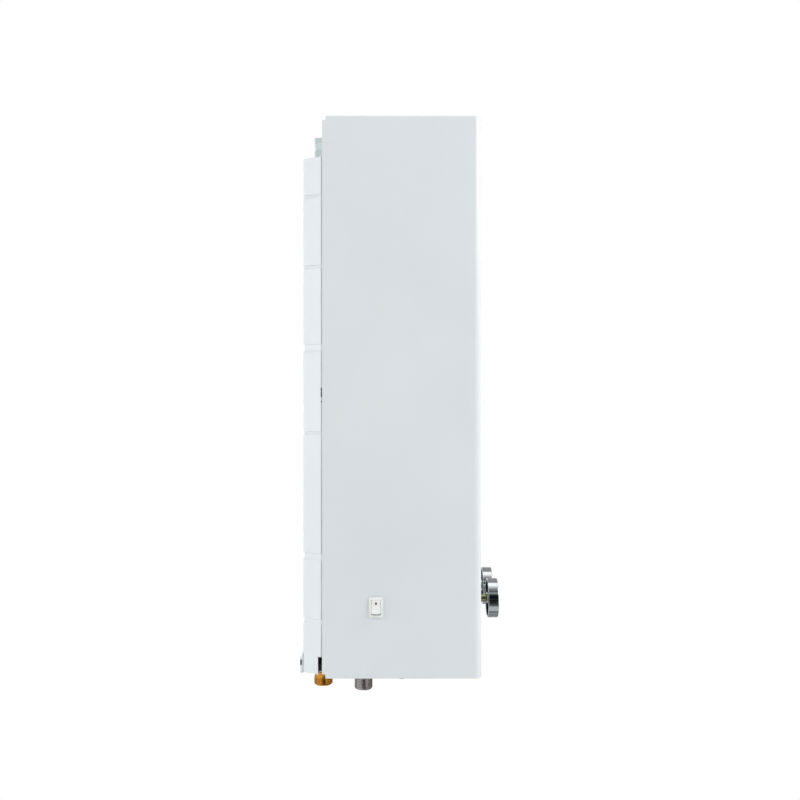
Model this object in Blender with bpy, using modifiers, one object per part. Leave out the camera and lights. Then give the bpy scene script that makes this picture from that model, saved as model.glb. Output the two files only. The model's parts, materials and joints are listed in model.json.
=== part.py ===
"""Tankless gas water heater for a wall, built as separate pieces at their real size.

Metres, +Z up. The front faces -Y and the wall lies at Y = 0. The origin is the middle of the wall hanger's
rear face, level with the tops of its keyholes. A value named RISE is a height above the cover's lower edge,
and a value named SETBACK is a distance in front of the wall.
"""

import math

import bmesh
import bpy
from mathutils import Matrix, Vector

# Casing
CASE_WIDTH = 0.330
COVER_HEIGHT = 0.575
COVER_DEPTH = 0.163
COVER_DROP = 0.006
COVER_SHEET = 0.0008
COVER_EDGE_RADIUS = 0.0075
COVER_TOP_RADIUS = 0.0015
COVER_RETURN = 0.010
NOTCH_DEEP = 0.0035
NOTCH_TALL = 0.0046
NOTCH_LONG = 0.016
PAN_DEPTH = 0.0206
PAN_TAPER = 0.012
PAN_TOP_DROP = 0.041
PAN_BOTTOM_RISE = 0.0023
PAN_TOP_SLOPE = 0.0006
PAN_BOTTOM_SLOPE = 0.0013
PAN_SLOT_WIDE = 0.0043
PAN_SLOT_RISE = 0.022
RIM_GAP = 0.001
FLANGE_INSET = 0.0004
LIP_FOLD = 0.001
FLANGE_DROP = 0.0015
LIP_GAP = 0.0006
LIP_DEEP = 0.014
CHASSIS_SHEET = 0.0008
GROOVE_DEEP = 0.0014
GROOVE_LIP = 0.0012
GROOVE_CENTRE_SHARES = (0.0989, 0.2144, 0.4356, 0.587, 0.7323, 0.8589)
GROOVE_TALLS = (0.0066, 0.0083, 0.0041, 0.0087, 0.0041, 0.0039)
BOTTOM_SHEET = 0.001
BOTTOM_FLANGE = 0.014
AIR_SLOT_WIDE = 0.004
AIR_SLOT_LONG = 0.060
AIR_SLOT_PITCH = 0.010
AIR_SLOT_COUNT = 6
AIR_SLOT_SIDE_GAP = 0.050
AIR_SLOT_FRONT_GAP = 0.0286

# General clearances and screws
FIT = 0.0003
OVERRUN = 0.002
SCREW_RADIUS = 0.0015
SCREW_HEAD_RADIUS = 0.0035
SCREW_HEAD = 0.0014
SCREW_LENGTH = 0.006
SCREW_SIDES = 12

# Wall hanger, lower tabs and side clips
HANGER_HALF = 0.030
HANGER_FOOT = 0.012
HANGER_SHEET = 0.0012
HANGER_RISE = 0.011
HANGER_LOW_GAP = 0.0025
KEYHOLE_X = 0.017
KEYHOLE_RADIUS = 0.005
KEYHOLE_SLOT_HALF = 0.0026
KEYHOLE_DROP = 0.011
TAB_WIDE = 0.024
TAB_PROUD = 0.003
TAB_LOW_RISE = 0.002
TAB_TALL = 0.0221
TAB_TOP_SLOPE = 0.005
TAB_EDGE = 0.0012
TAB_HOLE_RADIUS = 0.0028
CLIP_RISE = 0.2897
CLIP_TALL = 0.014
CLIP_DEEP = 0.002
CLIP_LONG = 0.008

# Exhaust slots and viewing window
EXHAUST_X = 0.052
EXHAUST_LONG = 0.085
EXHAUST_TALL = 0.004
EXHAUST_PITCH = 0.010
EXHAUST_ROWS = 6
EXHAUST_TOP_DROP = 0.028
WINDOW_RISE = 0.135
WINDOW_WIDE = 0.064
WINDOW_TALL = 0.026
WINDOW_RIM = 0.004
WINDOW_SHEET = 0.0015
GLASS_THICK = 0.002

# Knobs and their spindles
KNOB_X = 0.034
KNOB_RISE = 0.054
KNOB_RADIUS = 0.02235
KNOB_THICK = 0.012
KNOB_STANDOFF = 0.018
KNOB_WALL = 0.0016
KNOB_CROWN = 0.0022
KNOB_EDGE = 0.0012
KNOB_EDGE_SHARE = 0.3
KNOB_ROOT_RISE = 0.0006
KNOB_GROOVE_WIDE = 0.0016
KNOB_GROOVE_LONG = 0.009
KNOB_GROOVE_DEEP = 0.0008
HUB_WALL = 0.0022
HUB_BORE = 0.0075
KNOB_SIDES = 48
SPINDLE_RADIUS = 0.004
SPINDLE_HOLE_GAP = 0.0025
COCK_RADIUS = 0.0065
COCK_LONG = 0.024
GLAND_RADIUS = 0.0085
GLAND_LONG = 0.008
COCK_INSET = 0.004

# Rocker switch
ROCKER_RISE = 0.0732
ROCKER_FORWARD = 0.0551
BEZEL_WIDE = 0.015
BEZEL_TALL = 0.021
BEZEL_PROUD = 0.002
BEZEL_OPENING_WIDE = 0.0098
BEZEL_OPENING_TALL = 0.0162
HOUSING_WIDE = 0.0128
HOUSING_TALL = 0.0188
HOUSING_DEEP = 0.014
HOUSING_FLOOR = 0.002
ROCKER_PIVOT_DEPTH = 0.0034
ROCKER_REACH = 0.0078
ROCKER_END_RISE = 0.0042
ROCKER_WAIST_RISE = 0.0034
ROCKER_BELLY = 0.004
ROCKER_SIDE_GAP = 0.0003
ROCKER_TILT = math.radians(8)
MARK_RADIUS = 0.0011
MARK_SHARE = 0.52
MARK_DEEP = 0.0008
MARK_PROUD = 0.0001
BLADE_WIDE = 0.0048
BLADE_THICK = 0.0008
BLADE_LONG = 0.008
BLADE_SPREAD = 0.0035

# Gas and water valves
VALVE_LOW_RISE = 0.030
VALVE_TOP_RISE = 0.086
VALVE_BACK = 0.038
VALVE_FRONT = 0.118
VALVE_ROUND = 0.003
GAS_VALVE_HALF = 0.022
WATER_VALVE_LEFT = 0.010
WATER_VALVE_RIGHT = 0.014
INLET_SETBACK = 0.0576
OUTLET_SETBACK = 0.104
PASSAGE_RADIUS = 0.006
PASSAGE_TOP_RISE = 0.060

# Linkage from the water valve to the gas valve, along X
ROD_SETBACK = 0.050
ROD_RADIUS = 0.002
ROD_PORT_RADIUS = 0.007
ROD_PORT_LONG = 0.028
DISC_RADIUS = 0.006
DISC_THICK = 0.002
DISC_INSET = 0.006
DIAPHRAGM_RADIUS = 0.024
CHAMBER_RADIUS = 0.020
CHAMBER_WALL = 0.002
DIAPHRAGM_THICK = 0.0009
FLANGE_THICK = 0.0063
CHAMBER_DEEP = 0.0042
COVER_CUP_LONG = 0.0082
ROD_PLATE_RADIUS = 0.012
ROD_PLATE_THICK = 0.0012
COLLAR_RADIUS = 0.008
COLLAR_THICK = 0.003
COLLAR_GAP = 0.0045
SPRING_RADIUS = 0.0036
SPRING_WIRE = 0.0006
SPRING_LONG = 0.0070
SPRING_TURNS = 4
SPRING_POINTS = 10

# Microswitch over the linkage
CARRIER_SHEET = 0.001
CARRIER_HALF_Y = 0.009
CARRIER_REACH = 0.018
CARRIER_SLOT = 0.006
CARRIER_SLOT_SIDE = 0.001
MICROSWITCH_LONG = 0.010
MICROSWITCH_WIDE = 0.0064
MICROSWITCH_TALL = 0.018
LEVER_WIDE = 0.004
LEVER_SHEET = 0.0005
LEVER_BARREL = 0.0008
LEVER_OVERLAP = 0.003
PADDLE_WIDE = 0.008
PADDLE_GAP = 0.0045

# Solenoid on the gas valve
SOLENOID_SETBACK = 0.078
SOLENOID_RADIUS = 0.012
SOLENOID_TALL = 0.030
SOLENOID_CAP = 0.002
PLUNGER_RADIUS = 0.005
PLUNGER_LOW_RISE = 0.070
PLUNGER_TRAVEL = 0.003
PLUNGER_HEAD_ROOM = 0.001

# Pipe fittings
THREAD_RADIUS = 0.0105
THREAD_PITCH = 0.001814
THREAD_DEEP = 0.0009
THREAD_LONG = 0.0145
FITTING_BORE = 0.0065
FITTING_SIDES = 20
GAS_END_DROP = 0.0514
COLD_END_DROP = 0.0514
SHANK_RADIUS = 0.009
HOT_X = -0.058
HOT_SETBACK = 0.0129
HOT_END_DROP = 0.0386
HOT_TOP_DROP = 0.0254
SLEEVE_RADIUS = 0.0092
SLEEVE_WALL = 0.0018
SLEEVE_RISE = 0.006
FITTING_HOLE_GAP = 0.0006
DRAIN_SETBACK = 0.096
DRAIN_RADIUS = 0.006
DRAIN_CAP_RADIUS = 0.009
DRAIN_CAP_LONG = 0.007
DRAIN_DROP = 0.009

# Exchanger and hood
STACK_SIDE_GAP = 0.060
STACK_BACK = 0.040
STACK_FRONT_GAP = 0.0336
STACK_CORNER = 0.018
STACK_SHEET = 0.001
BURNER_LOW_SHARE = 0.262
SHELL_LOW_SHARE = 0.409
SHELL_TOP_SHARE = 0.697
FIN_TALL = 0.046
FIN_THICK = 0.0006
FIN_COUNT = 14
FIN_SPAN_SHARE = 0.8
FIN_TIE = 0.002
FIN_TUBE_RADIUS = 0.0065
FIN_TUBE_PITCH_SHARE = 0.309
FIN_TUBE_SIDES = 8
RISER_OUT = 0.018
HOT_OUT = 0.027
STUB = 0.022
COIL_RADIUS = 0.00635
COIL_TURNS = 2
COIL_PITCH = 0.032
COIL_LOW_GAP = 0.020
PIPE_WALL = 0.0009
PIPE_BEND = 0.014
HOOD_CHEST_SHARE = 0.45
HOOD_SHEET = 0.0008
HOOD_MOUTH_GAP = 0.003
HOOD_TOP_GAP = 0.004
BRACKET_SHEET = 0.0015
BRACKET_TALL = 0.030
BRACKET_HALF = 0.036
BRACKET_FOOT = 0.012
THERMOSTAT_RADIUS = 0.009
THERMOSTAT_LONG = 0.007

# Burner
BURNER_INSET = 0.005
BURNER_SHEET = 0.001
BAR_MARGIN = 0.003
BAR_PITCH = 0.019
BAR_TALL = 0.052
BAR_HEAD_HALF = 0.0022
BAR_NECK_HALF = 0.0014
BAR_BULB_HALF = 0.0072
BAR_SEAT = 0.004
BAR_RAIL = 0.004
JET_PORT_RADIUS = 0.0045
MANIFOLD_GAP = 0.005
MANIFOLD_DEEP = 0.014
MANIFOLD_TALL = 0.014
LUG_WIDE = 0.008
NOZZLE_RADIUS = 0.003
NOZZLE_TIP = 0.0014
GAS_PIPE_RADIUS = 0.006
ELECTRODE_NAMES = ("flame_sensor", "ignition_electrode")
ELECTRODE_X_SHARES = (-0.6, 0.2)
ELECTRODE_DROP = 0.014
CERAMIC_RADIUS = 0.0035
CERAMIC_LONG = 0.022
CERAMIC_OUT = 0.013
PROBE_RADIUS = 0.0009
PROBE_LONG = 0.014

# Igniter, leads and battery
IGNITER_SIDE_GAP = 0.017
IGNITER_WIDE = 0.056
IGNITER_DEEP = 0.030
IGNITER_LOW_RISE = 0.068
IGNITER_TALL = 0.046
IGNITER_ROUND = 0.002
LEAD_RADIUS = 0.0013
LEAD_BEND = 0.006
LEAD_START_SHARES = (0.35, 0.1)
LEAD_LEVEL_SHARES = (0.3, -0.1)
BATTERY_SIDE_GAP = 0.014
BATTERY_WIDE = 0.076
BATTERY_BACK = 0.060
BATTERY_DEEP = 0.076
BATTERY_WALL = 0.0015
BATTERY_RISE = 0.046
CELL_RADIUS = 0.0165
CELL_LONG = 0.0600
CELL_TIP_RADIUS = 0.0045
CELL_TIP = 0.0015
CELL_SPREAD = 0.0175
LINK_THICK = 0.0012
LINK_TALL = 0.012
DOOR_GAP = 0.0006
DOOR_THICK = 0.0018
DOOR_BARREL = 0.0016

# How finely round shapes are divided
ROUND_SIDES = 20
SMALL_SIDES = 12
BEND_STEPS = 4
ROUND_END_SHARE = 0.98
WELD = 0.00001
SMOOTH_ANGLE = math.radians(40)

# Planes and heights that follow from the sizes above
HALF = CASE_WIDTH / 2
COVER_REAR = -PAN_DEPTH
COVER_FRONT = COVER_REAR - COVER_DEPTH
COVER_TOP = -COVER_DROP
COVER_BOTTOM = COVER_TOP - COVER_HEIGHT
PAN_TOP = COVER_TOP - PAN_TOP_DROP
PAN_BOTTOM = COVER_BOTTOM + PAN_BOTTOM_RISE
FLANGE_Y = COVER_REAR - FLANGE_INSET
FLANGE_INNER_Y = FLANGE_Y - CHASSIS_SHEET
LIP_X = HALF - COVER_SHEET - LIP_GAP
PLATE_Z = COVER_BOTTOM + COVER_SHEET + FIT + BOTTOM_SHEET / 2
PLATE_TOP = PLATE_Z + BOTTOM_SHEET / 2
KNOB_Z = COVER_BOTTOM + KNOB_RISE
KNOB_BACK = COVER_FRONT - KNOB_STANDOFF
HUB_RADIUS = SPINDLE_RADIUS + FIT + HUB_WALL
VALVE_LOW = COVER_BOTTOM + VALVE_LOW_RISE
VALVE_TOP = COVER_BOTTOM + VALVE_TOP_RISE
GAS_VALVE_FACE = -KNOB_X + GAS_VALVE_HALF
DIAPHRAGM_X = KNOB_X - WATER_VALVE_LEFT - FLANGE_THICK - FIT
CUP_FACE = DIAPHRAGM_X - DIAPHRAGM_THICK - FIT - COVER_CUP_LONG
COLLAR_FACE = CUP_FACE - COLLAR_GAP - COLLAR_THICK
CARRIER_TOP = VALVE_TOP + FIT + CARRIER_SHEET
STACK_HALF = HALF - STACK_SIDE_GAP
STACK_DEPTH = -COVER_FRONT - STACK_BACK - STACK_FRONT_GAP
STACK_FRONT = -STACK_BACK - STACK_DEPTH
STACK_MID = -STACK_BACK - STACK_DEPTH / 2
BURNER_LOW = COVER_BOTTOM + COVER_HEIGHT * BURNER_LOW_SHARE
SHELL_LOW = COVER_BOTTOM + COVER_HEIGHT * SHELL_LOW_SHARE
SHELL_TOP = COVER_BOTTOM + COVER_HEIGHT * SHELL_TOP_SHARE
FIN_Z = SHELL_TOP - FIT - FIN_TALL / 2
COIL_X = STACK_HALF + FIT + COIL_RADIUS
COIL_BACK = -STACK_BACK + FIT + COIL_RADIUS
COIL_FRONT = STACK_FRONT - FIT - COIL_RADIUS
COIL_LOW = SHELL_LOW + COIL_LOW_GAP
FIN_TUBE_PITCH = STACK_DEPTH * FIN_TUBE_PITCH_SHARE
TUBE_BEND = FIN_TUBE_PITCH / 2 - FIT
RISER_X = STACK_HALF + RISER_OUT
HOT_RISER_X = STACK_HALF + HOT_OUT
FIN_BACK = STACK_MID + FIN_TUBE_PITCH
FIN_FRONT = STACK_MID - FIN_TUBE_PITCH
MANIFOLD_BACK = STACK_FRONT - MANIFOLD_GAP
BURNER_HALF = STACK_HALF - BURNER_INSET
BAR_COUNT = int(2 * (BURNER_HALF - BAR_MARGIN) / BAR_PITCH)
ELECTRODE_X = [BURNER_HALF * share for share in ELECTRODE_X_SHARES]
BARS_LOW = BURNER_LOW + BAR_SEAT
JET_Z = BARS_LOW + BAR_BULB_HALF
BATTERY_X = HALF - BATTERY_SIDE_GAP - BATTERY_WIDE / 2
BATTERY_TOP = COVER_BOTTOM + BATTERY_RISE
IGNITER_X = -HALF + IGNITER_SIDE_GAP + IGNITER_WIDE / 2
IGNITER_FRONT = -CHASSIS_SHEET - FIT - IGNITER_DEEP

# Colour, roughness and metallic value of each finish
FINISHES = {
    "white_enamel": ((0.72, 0.76, 0.77), 0.35, 0.0),
    "white_plastic": ((0.76, 0.79, 0.80), 0.4, 0.0),
    "galvanised": ((0.55, 0.60, 0.61), 0.45, 0.8),
    "zinc_screw": ((0.60, 0.60, 0.58), 0.35, 1.0),
    "chrome": ((0.80, 0.81, 0.82), 0.08, 1.0),
    "brass": ((0.72, 0.48, 0.20), 0.25, 1.0),
    "grey_steel": ((0.30, 0.29, 0.30), 0.4, 1.0),
    "stainless": ((0.62, 0.62, 0.60), 0.3, 1.0),
    "copper": ((0.80, 0.42, 0.26), 0.3, 1.0),
    "cast_aluminium": ((0.58, 0.58, 0.58), 0.5, 1.0),
    "black_rubber": ((0.02, 0.02, 0.02), 0.7, 0.0),
    "black_plastic": ((0.03, 0.03, 0.03), 0.45, 0.0),
    "red_plastic": ((0.30, 0.03, 0.05), 0.4, 0.0),
    "ceramic": ((0.85, 0.84, 0.80), 0.3, 0.0),
    "glass": ((0.25, 0.28, 0.28), 0.05, 0.0),
    "cell_wrap": ((0.10, 0.22, 0.16), 0.4, 0.0),
    "spring_steel": ((0.45, 0.45, 0.45), 0.3, 1.0),
}


def collection(name):
    """A new collection under the scene."""
    made = bpy.data.collections.new(name)
    bpy.context.scene.collection.children.link(made)
    return made


for old in list(bpy.data.objects):
    bpy.data.objects.remove(old)
HEATER = collection("tankless_water_heater")
CUTTERS = collection("cutters")


def finish_material(name):
    """The named finish as a Principled material, made once."""
    found = bpy.data.materials.get(name)
    if found:
        return found
    colour, roughness, metallic = FINISHES[name]
    made = bpy.data.materials.new(name)
    made.use_nodes = True
    shader = made.node_tree.nodes["Principled BSDF"]
    shader.inputs["Base Color"].default_value = (*colour, 1)
    shader.inputs["Roughness"].default_value = roughness
    shader.inputs["Metallic"].default_value = metallic
    return made


def add_piece(name, mesh, finish, smooth=False):
    """Link a mesh into the heater as a named piece with its own finish."""
    if smooth:
        mesh.shade_smooth()
        mesh.set_sharp_from_angle(angle=SMOOTH_ANGLE)
    piece = bpy.data.objects.new(name, mesh)
    mesh.materials.append(finish_material(finish))
    HEATER.objects.link(piece)
    return piece


def add_cutter(name, mesh):
    """Link a mesh as a tool that cuts or joins and is no piece itself."""
    tool = bpy.data.objects.new(name, mesh)
    tool.hide_render = True
    tool.display_type = "WIRE"
    CUTTERS.objects.link(tool)
    return tool


def mesh_of(shape, name):
    """Turn a bmesh into a mesh and free it."""
    mesh = bpy.data.meshes.new(name)
    shape.to_mesh(mesh)
    shape.free()
    return mesh


def block(shape, low, high):
    """Add a box between two corners and return its vertices."""
    low, high = Vector(low), Vector(high)
    size = high - low
    place = Matrix.Translation((low + high) / 2) @ Matrix.Diagonal((*size, 1))
    return bmesh.ops.create_cube(shape, size=1, matrix=place)["verts"]


def edges_along(verts, axis):
    """The edges of a box that run along one axis, 0 to 2."""
    edges = {edge for vert in verts for edge in vert.link_edges}
    return [edge for edge in edges if abs((edge.verts[1].co - edge.verts[0].co).normalized()[axis]) > 0.9]


def rounded_block(shape, low, high, axis, radius, steps=3):
    """Add a box whose edges along one axis are rounded."""
    edges = edges_along(block(shape, low, high), axis)
    bmesh.ops.bevel(shape, geom=edges, offset=radius, segments=steps, profile=0.5, affect="EDGES")


def slot(shape, low, high, axis):
    """Add a box with full round ends, to cut a slot that goes through along one axis."""
    spans = [abs(high[k] - low[k]) for k in range(3) if k != axis]
    rounded_block(shape, low, high, axis, min(spans) / 2 * ROUND_END_SHARE)


def barrel(shape, start, end, radius, sides=ROUND_SIDES, end_radius=None):
    """Add a cylinder or cone between two points."""
    start, end = Vector(start), Vector(end)
    axis = end - start
    place = Matrix.Translation((start + end) / 2) @ axis.to_track_quat("Z", "Y").to_matrix().to_4x4()
    bmesh.ops.create_cone(
        shape,
        cap_ends=True,
        segments=sides,
        radius1=radius,
        radius2=radius if end_radius is None else end_radius,
        depth=axis.length,
        matrix=place,
    )


def around(radius, sides=ROUND_SIDES):
    """The corner radius of a many-sided hole that clears a round piece."""
    return radius / math.cos(math.pi / sides)


def boolean(piece, tool, operation="DIFFERENCE"):
    """Cut a piece with a tool, or join the tool to it."""
    modifier = piece.modifiers.new(tool.name, "BOOLEAN")
    modifier.operation = operation
    modifier.object = tool
    modifier.solver = "EXACT"


def solidify(piece, thickness, offset):
    """Give an open surface its thickness."""
    modifier = piece.modifiers.new("sheet", "SOLIDIFY")
    modifier.thickness = thickness
    modifier.offset = offset
    modifier.use_even_offset = True


def from_curve(curve, name):
    """Turn a curve into a mesh with its caps welded on."""
    holder = bpy.data.objects.new(name, curve)
    bpy.context.scene.collection.objects.link(holder)
    evaluated = holder.evaluated_get(bpy.context.evaluated_depsgraph_get())
    mesh = bpy.data.meshes.new_from_object(evaluated)
    bpy.data.objects.remove(holder)
    bpy.data.curves.remove(curve)
    shape = bmesh.new()
    shape.from_mesh(mesh)
    bmesh.ops.remove_doubles(shape, verts=shape.verts, dist=WELD)
    shape.to_mesh(mesh)
    shape.free()
    mesh.name = name
    return mesh


def prism(name, loops, thickness):
    """A flat outline, with any further loops as its holes, with its thickness about the XY plane."""
    curve = bpy.data.curves.new(name, "CURVE")
    curve.dimensions = "2D"
    curve.fill_mode = "BOTH"
    curve.extrude = thickness / 2
    for loop in loops:
        spline = curve.splines.new("POLY")
        spline.points.add(len(loop) - 1)
        for point, place in zip(spline.points, loop):
            point.co = (*place, 0, 1)
        spline.use_cyclic_u = True
    return from_curve(curve, name)


def turned(name, profile, base, direction, finish, sides=ROUND_SIDES, closed=False):
    """A turned piece: (radius, height) pairs from the top down the outer side, spun about a direction."""
    shape = bmesh.new()
    verts = [shape.verts.new((radius, 0, height)) for radius, height in profile]
    for first, second in zip(verts, verts[1:]):
        shape.edges.new((first, second))
    if closed:
        shape.edges.new((verts[-1], verts[0]))
    piece = add_piece(name, mesh_of(shape, name), finish)
    piece.location = base
    piece.rotation_euler = Vector(direction).to_track_quat("Z", "Y").to_euler()
    spin = piece.modifiers.new("spin", "SCREW")
    spin.angle = math.tau
    spin.steps = sides
    spin.render_steps = sides
    spin.use_merge_vertices = True
    spin.merge_threshold = WELD
    return piece


def tube_profile(outer, inner, long):
    """The closed profile of a plain tube that stands on its base."""
    return [(outer, long), (outer, 0), (inner, 0), (inner, long)]


def route(points, bend):
    """A path through the points with each corner rounded to a bend radius."""
    points = [Vector(point) for point in points]
    path = [points[0]]
    for before, corner, after in zip(points, points[1:], points[2:]):
        arrive = (corner - before).normalized()
        leave = (after - corner).normalized()
        turn = arrive.angle(leave)
        reach = bend * math.tan(turn / 2)
        centre_line = (leave - arrive).normalized()
        centre = corner + centre_line * (bend / math.cos(turn / 2))
        start = corner - arrive * reach
        axis = arrive.cross(leave).normalized()
        for step in range(BEND_STEPS + 1):
            spin = Matrix.Rotation(turn * step / BEND_STEPS, 3, axis)
            path.append(centre + spin @ (start - centre))
    path.append(points[-1])
    return path


def tube_mesh(name, path, radius, resolution, capped):
    """A round tube along a path, as a mesh."""
    curve = bpy.data.curves.new(name, "CURVE")
    curve.dimensions = "3D"
    curve.bevel_depth = radius
    curve.bevel_resolution = resolution
    curve.use_fill_caps = capped
    spline = curve.splines.new("POLY")
    spline.points.add(len(path) - 1)
    for point, place in zip(spline.points, path):
        point.co = (*place, 1)
    return from_curve(curve, name)


def pipe(name, path, radius, finish, wall=PIPE_WALL, resolution=2):
    """A pipe with its bore, along a path."""
    piece = add_piece(name, tube_mesh(name, path, radius, resolution, False), finish, smooth=True)
    solidify(piece, wall, -1)
    return piece


def folded_sheet(name, chain, sweep, sheet, finish):
    """A folded sheet: the middle line of its section, swept along a direction."""
    shape = bmesh.new()
    verts = [shape.verts.new(point) for point in chain]
    edges = [shape.edges.new(pair) for pair in zip(verts, verts[1:])]
    swept = bmesh.ops.extrude_edge_only(shape, edges=edges)["geom"]
    moved = [part for part in swept if isinstance(part, bmesh.types.BMVert)]
    bmesh.ops.translate(shape, verts=moved, vec=sweep)
    piece = add_piece(name, mesh_of(shape, name), finish)
    solidify(piece, sheet, 0)
    return piece


def rounded_outline(width, height, radius, steps=4):
    """A rounded rectangle about the origin, as (x, y) pairs."""
    corners = ((1, 1, 0), (-1, 1, 1), (-1, -1, 2), (1, -1, 3))
    outline = []
    for side_x, side_y, quarter in corners:
        for step in range(steps + 1):
            angle = math.pi / 2 * (quarter + step / steps)
            x = side_x * (width / 2 - radius) + radius * math.cos(angle)
            y = side_y * (height / 2 - radius) + radius * math.sin(angle)
            outline.append((x, y))
    return outline


def screw(name, place, direction):
    """A pan-headed screw with its head's underside at its place and its shank along the direction."""
    place, direction = Vector(place), Vector(direction)
    shape = bmesh.new()
    barrel(shape, place, place - direction * SCREW_HEAD, SCREW_HEAD_RADIUS, SCREW_SIDES)
    head = add_piece(name, mesh_of(shape, name), "zinc_screw", smooth=True)
    shape = bmesh.new()
    inner = place - direction * SCREW_HEAD / 2
    barrel(shape, inner, place + direction * SCREW_LENGTH, SCREW_RADIUS, SCREW_SIDES)
    boolean(head, add_cutter(name + "_shank", mesh_of(shape, name)), "UNION")


def screw_hole(shape, place, direction, long):
    """A clearance hole for a screw's shank."""
    direction = Vector(direction)
    start = Vector(place) - direction * OVERRUN
    end = start + direction * (long + OVERRUN)
    barrel(shape, start, end, around(SCREW_RADIUS + FIT, SCREW_SIDES), SCREW_SIDES)


def cover_screw_places():
    """Where the screws through the cover's return flange go, left and right."""
    x = HALF - COVER_RETURN / 2
    y = COVER_REAR - COVER_DEPTH / 2
    return [(-x, y, COVER_BOTTOM - FIT), (x, y, COVER_BOTTOM - FIT)]


def battery_opening():
    """The opening in the bottom plate under the battery box, as low and high X and Y."""
    x = BATTERY_WIDE / 2 - BATTERY_WALL
    rear = -BATTERY_BACK - BATTERY_WALL
    front = -BATTERY_BACK - BATTERY_DEEP + BATTERY_WALL
    return BATTERY_X - x, BATTERY_X + x, front, rear


def corner_notches(shape, side):
    """Add the blocks that cut one side's rear corners, above and below, from the cover and the plates."""
    inner, outer = side * (HALF - NOTCH_LONG), side * (HALF + OVERRUN)
    low_x, high_x = min(inner, outer), max(inner, outer)
    front, rear = COVER_REAR - NOTCH_DEEP, COVER_REAR + PAN_SLOT_WIDE
    block(shape, (low_x, front, COVER_TOP - NOTCH_TALL), (high_x, rear, COVER_TOP + OVERRUN))
    block(shape, (low_x, front, COVER_BOTTOM - OVERRUN), (high_x, rear, COVER_BOTTOM + NOTCH_TALL))


def front_cover():
    """The enamelled cover: front, sides, top and a return flange along the bottom."""
    shape = bmesh.new()
    block(shape, (-HALF, COVER_FRONT, COVER_BOTTOM), (HALF, COVER_REAR, COVER_TOP))
    bottom = [face for face in shape.faces if face.normal.z < -0.9]
    bmesh.ops.inset_individual(shape, faces=bottom, thickness=COVER_RETURN, use_even_offset=True)
    for vert in shape.verts:
        if abs(vert.co.y - COVER_REAR + COVER_RETURN) < WELD:
            vert.co.y = COVER_REAR
    middle_y = (COVER_FRONT + COVER_REAR) / 2
    spare = [face for face in shape.faces if face.normal.y > 0.9]
    for face in shape.faces:
        centre = face.calc_center_median()
        under = face.normal.z < -0.9
        if under and abs(centre.x) < COVER_RETURN and centre.y > middle_y - COVER_RETURN:
            spare.append(face)
    bmesh.ops.delete(shape, geom=spare, context="FACES")
    upright = []
    for edge in shape.edges:
        first, last = edge.verts[0].co, edge.verts[1].co
        at_front = abs(first.y - COVER_FRONT) < WELD and abs(last.y - COVER_FRONT) < WELD
        if at_front and abs(first.z - last.z) > COVER_RETURN:
            upright.append(edge)
    bmesh.ops.bevel(shape, geom=upright, offset=COVER_EDGE_RADIUS, segments=4, profile=0.5, affect="EDGES")
    level = []
    for edge in shape.edges:
        at_top = all(abs(vert.co.z - COVER_TOP) < WELD for vert in edge.verts)
        if at_top and len(edge.link_faces) > 1:
            level.append(edge)
    bmesh.ops.bevel(shape, geom=level, offset=COVER_TOP_RADIUS, segments=2, profile=0.5, affect="EDGES")
    cover = add_piece("front_cover", mesh_of(shape, "front_cover"), "white_enamel", smooth=True)
    solidify(cover, COVER_SHEET, -1)

    holes = bmesh.new()
    knob_hole = SPINDLE_RADIUS + SPINDLE_HOLE_GAP
    front, behind = COVER_FRONT - OVERRUN, COVER_FRONT + COVER_SHEET + OVERRUN
    for side in (-1, 1):
        corner_notches(holes, side)
        barrel(holes, (side * KNOB_X, front, KNOB_Z), (side * KNOB_X, behind, KNOB_Z), knob_hole)
        for row in range(EXHAUST_ROWS):
            z = COVER_TOP - EXHAUST_TOP_DROP - row * EXHAUST_PITCH
            low_x = side * EXHAUST_X - EXHAUST_LONG / 2
            high_x = side * EXHAUST_X + EXHAUST_LONG / 2
            slot(holes, (low_x, front, z - EXHAUST_TALL / 2), (high_x, behind, z + EXHAUST_TALL / 2), 1)
    window_x = WINDOW_WIDE / 2 - WINDOW_RIM
    window_z = WINDOW_TALL / 2 - WINDOW_RIM
    z = COVER_BOTTOM + WINDOW_RISE
    slot(holes, (-window_x, front, z - window_z), (window_x, behind, z + window_z), 1)
    y = COVER_REAR - ROCKER_FORWARD
    z = COVER_BOTTOM + ROCKER_RISE
    wide = HOUSING_WIDE / 2 + FIT
    tall = HOUSING_TALL / 2 + FIT
    block(holes, (-HALF - OVERRUN, y - wide, z - tall), (-HALF + OVERRUN, y + wide, z + tall))
    for place in cover_screw_places():
        screw_hole(holes, place, (0, 0, 1), OVERRUN)
    boolean(cover, add_cutter("cover_holes", mesh_of(holes, "cover_holes")))


def groove_rows():
    """Heights of the pan's grooves: for each, its upper lip, its valley and its lower edge."""
    rows = []
    for share, tall in zip(GROOVE_CENTRE_SHARES, GROOVE_TALLS):
        top = COVER_BOTTOM + COVER_HEIGHT * share + tall / 2
        rows.append((top, top - GROOVE_LIP, top - tall))
    return rows


def between_grooves(index):
    """The height half way between a groove and the next one up."""
    low, high = GROOVE_CENTRE_SHARES[index], GROOVE_CENTRE_SHARES[index + 1]
    return COVER_BOTTOM + COVER_HEIGHT * (low + high) / 2


def pan_section(inset):
    """Half of the pan's section: side lip, rim, tapering wall and rear, drawn in by an inset."""
    return [
        (LIP_X, -PAN_DEPTH - LIP_DEEP),
        (LIP_X, FLANGE_Y),
        (HALF - FIT - inset, COVER_REAR + RIM_GAP),
        (HALF - PAN_TAPER - inset, -inset),
        (0, -inset),
    ]


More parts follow.
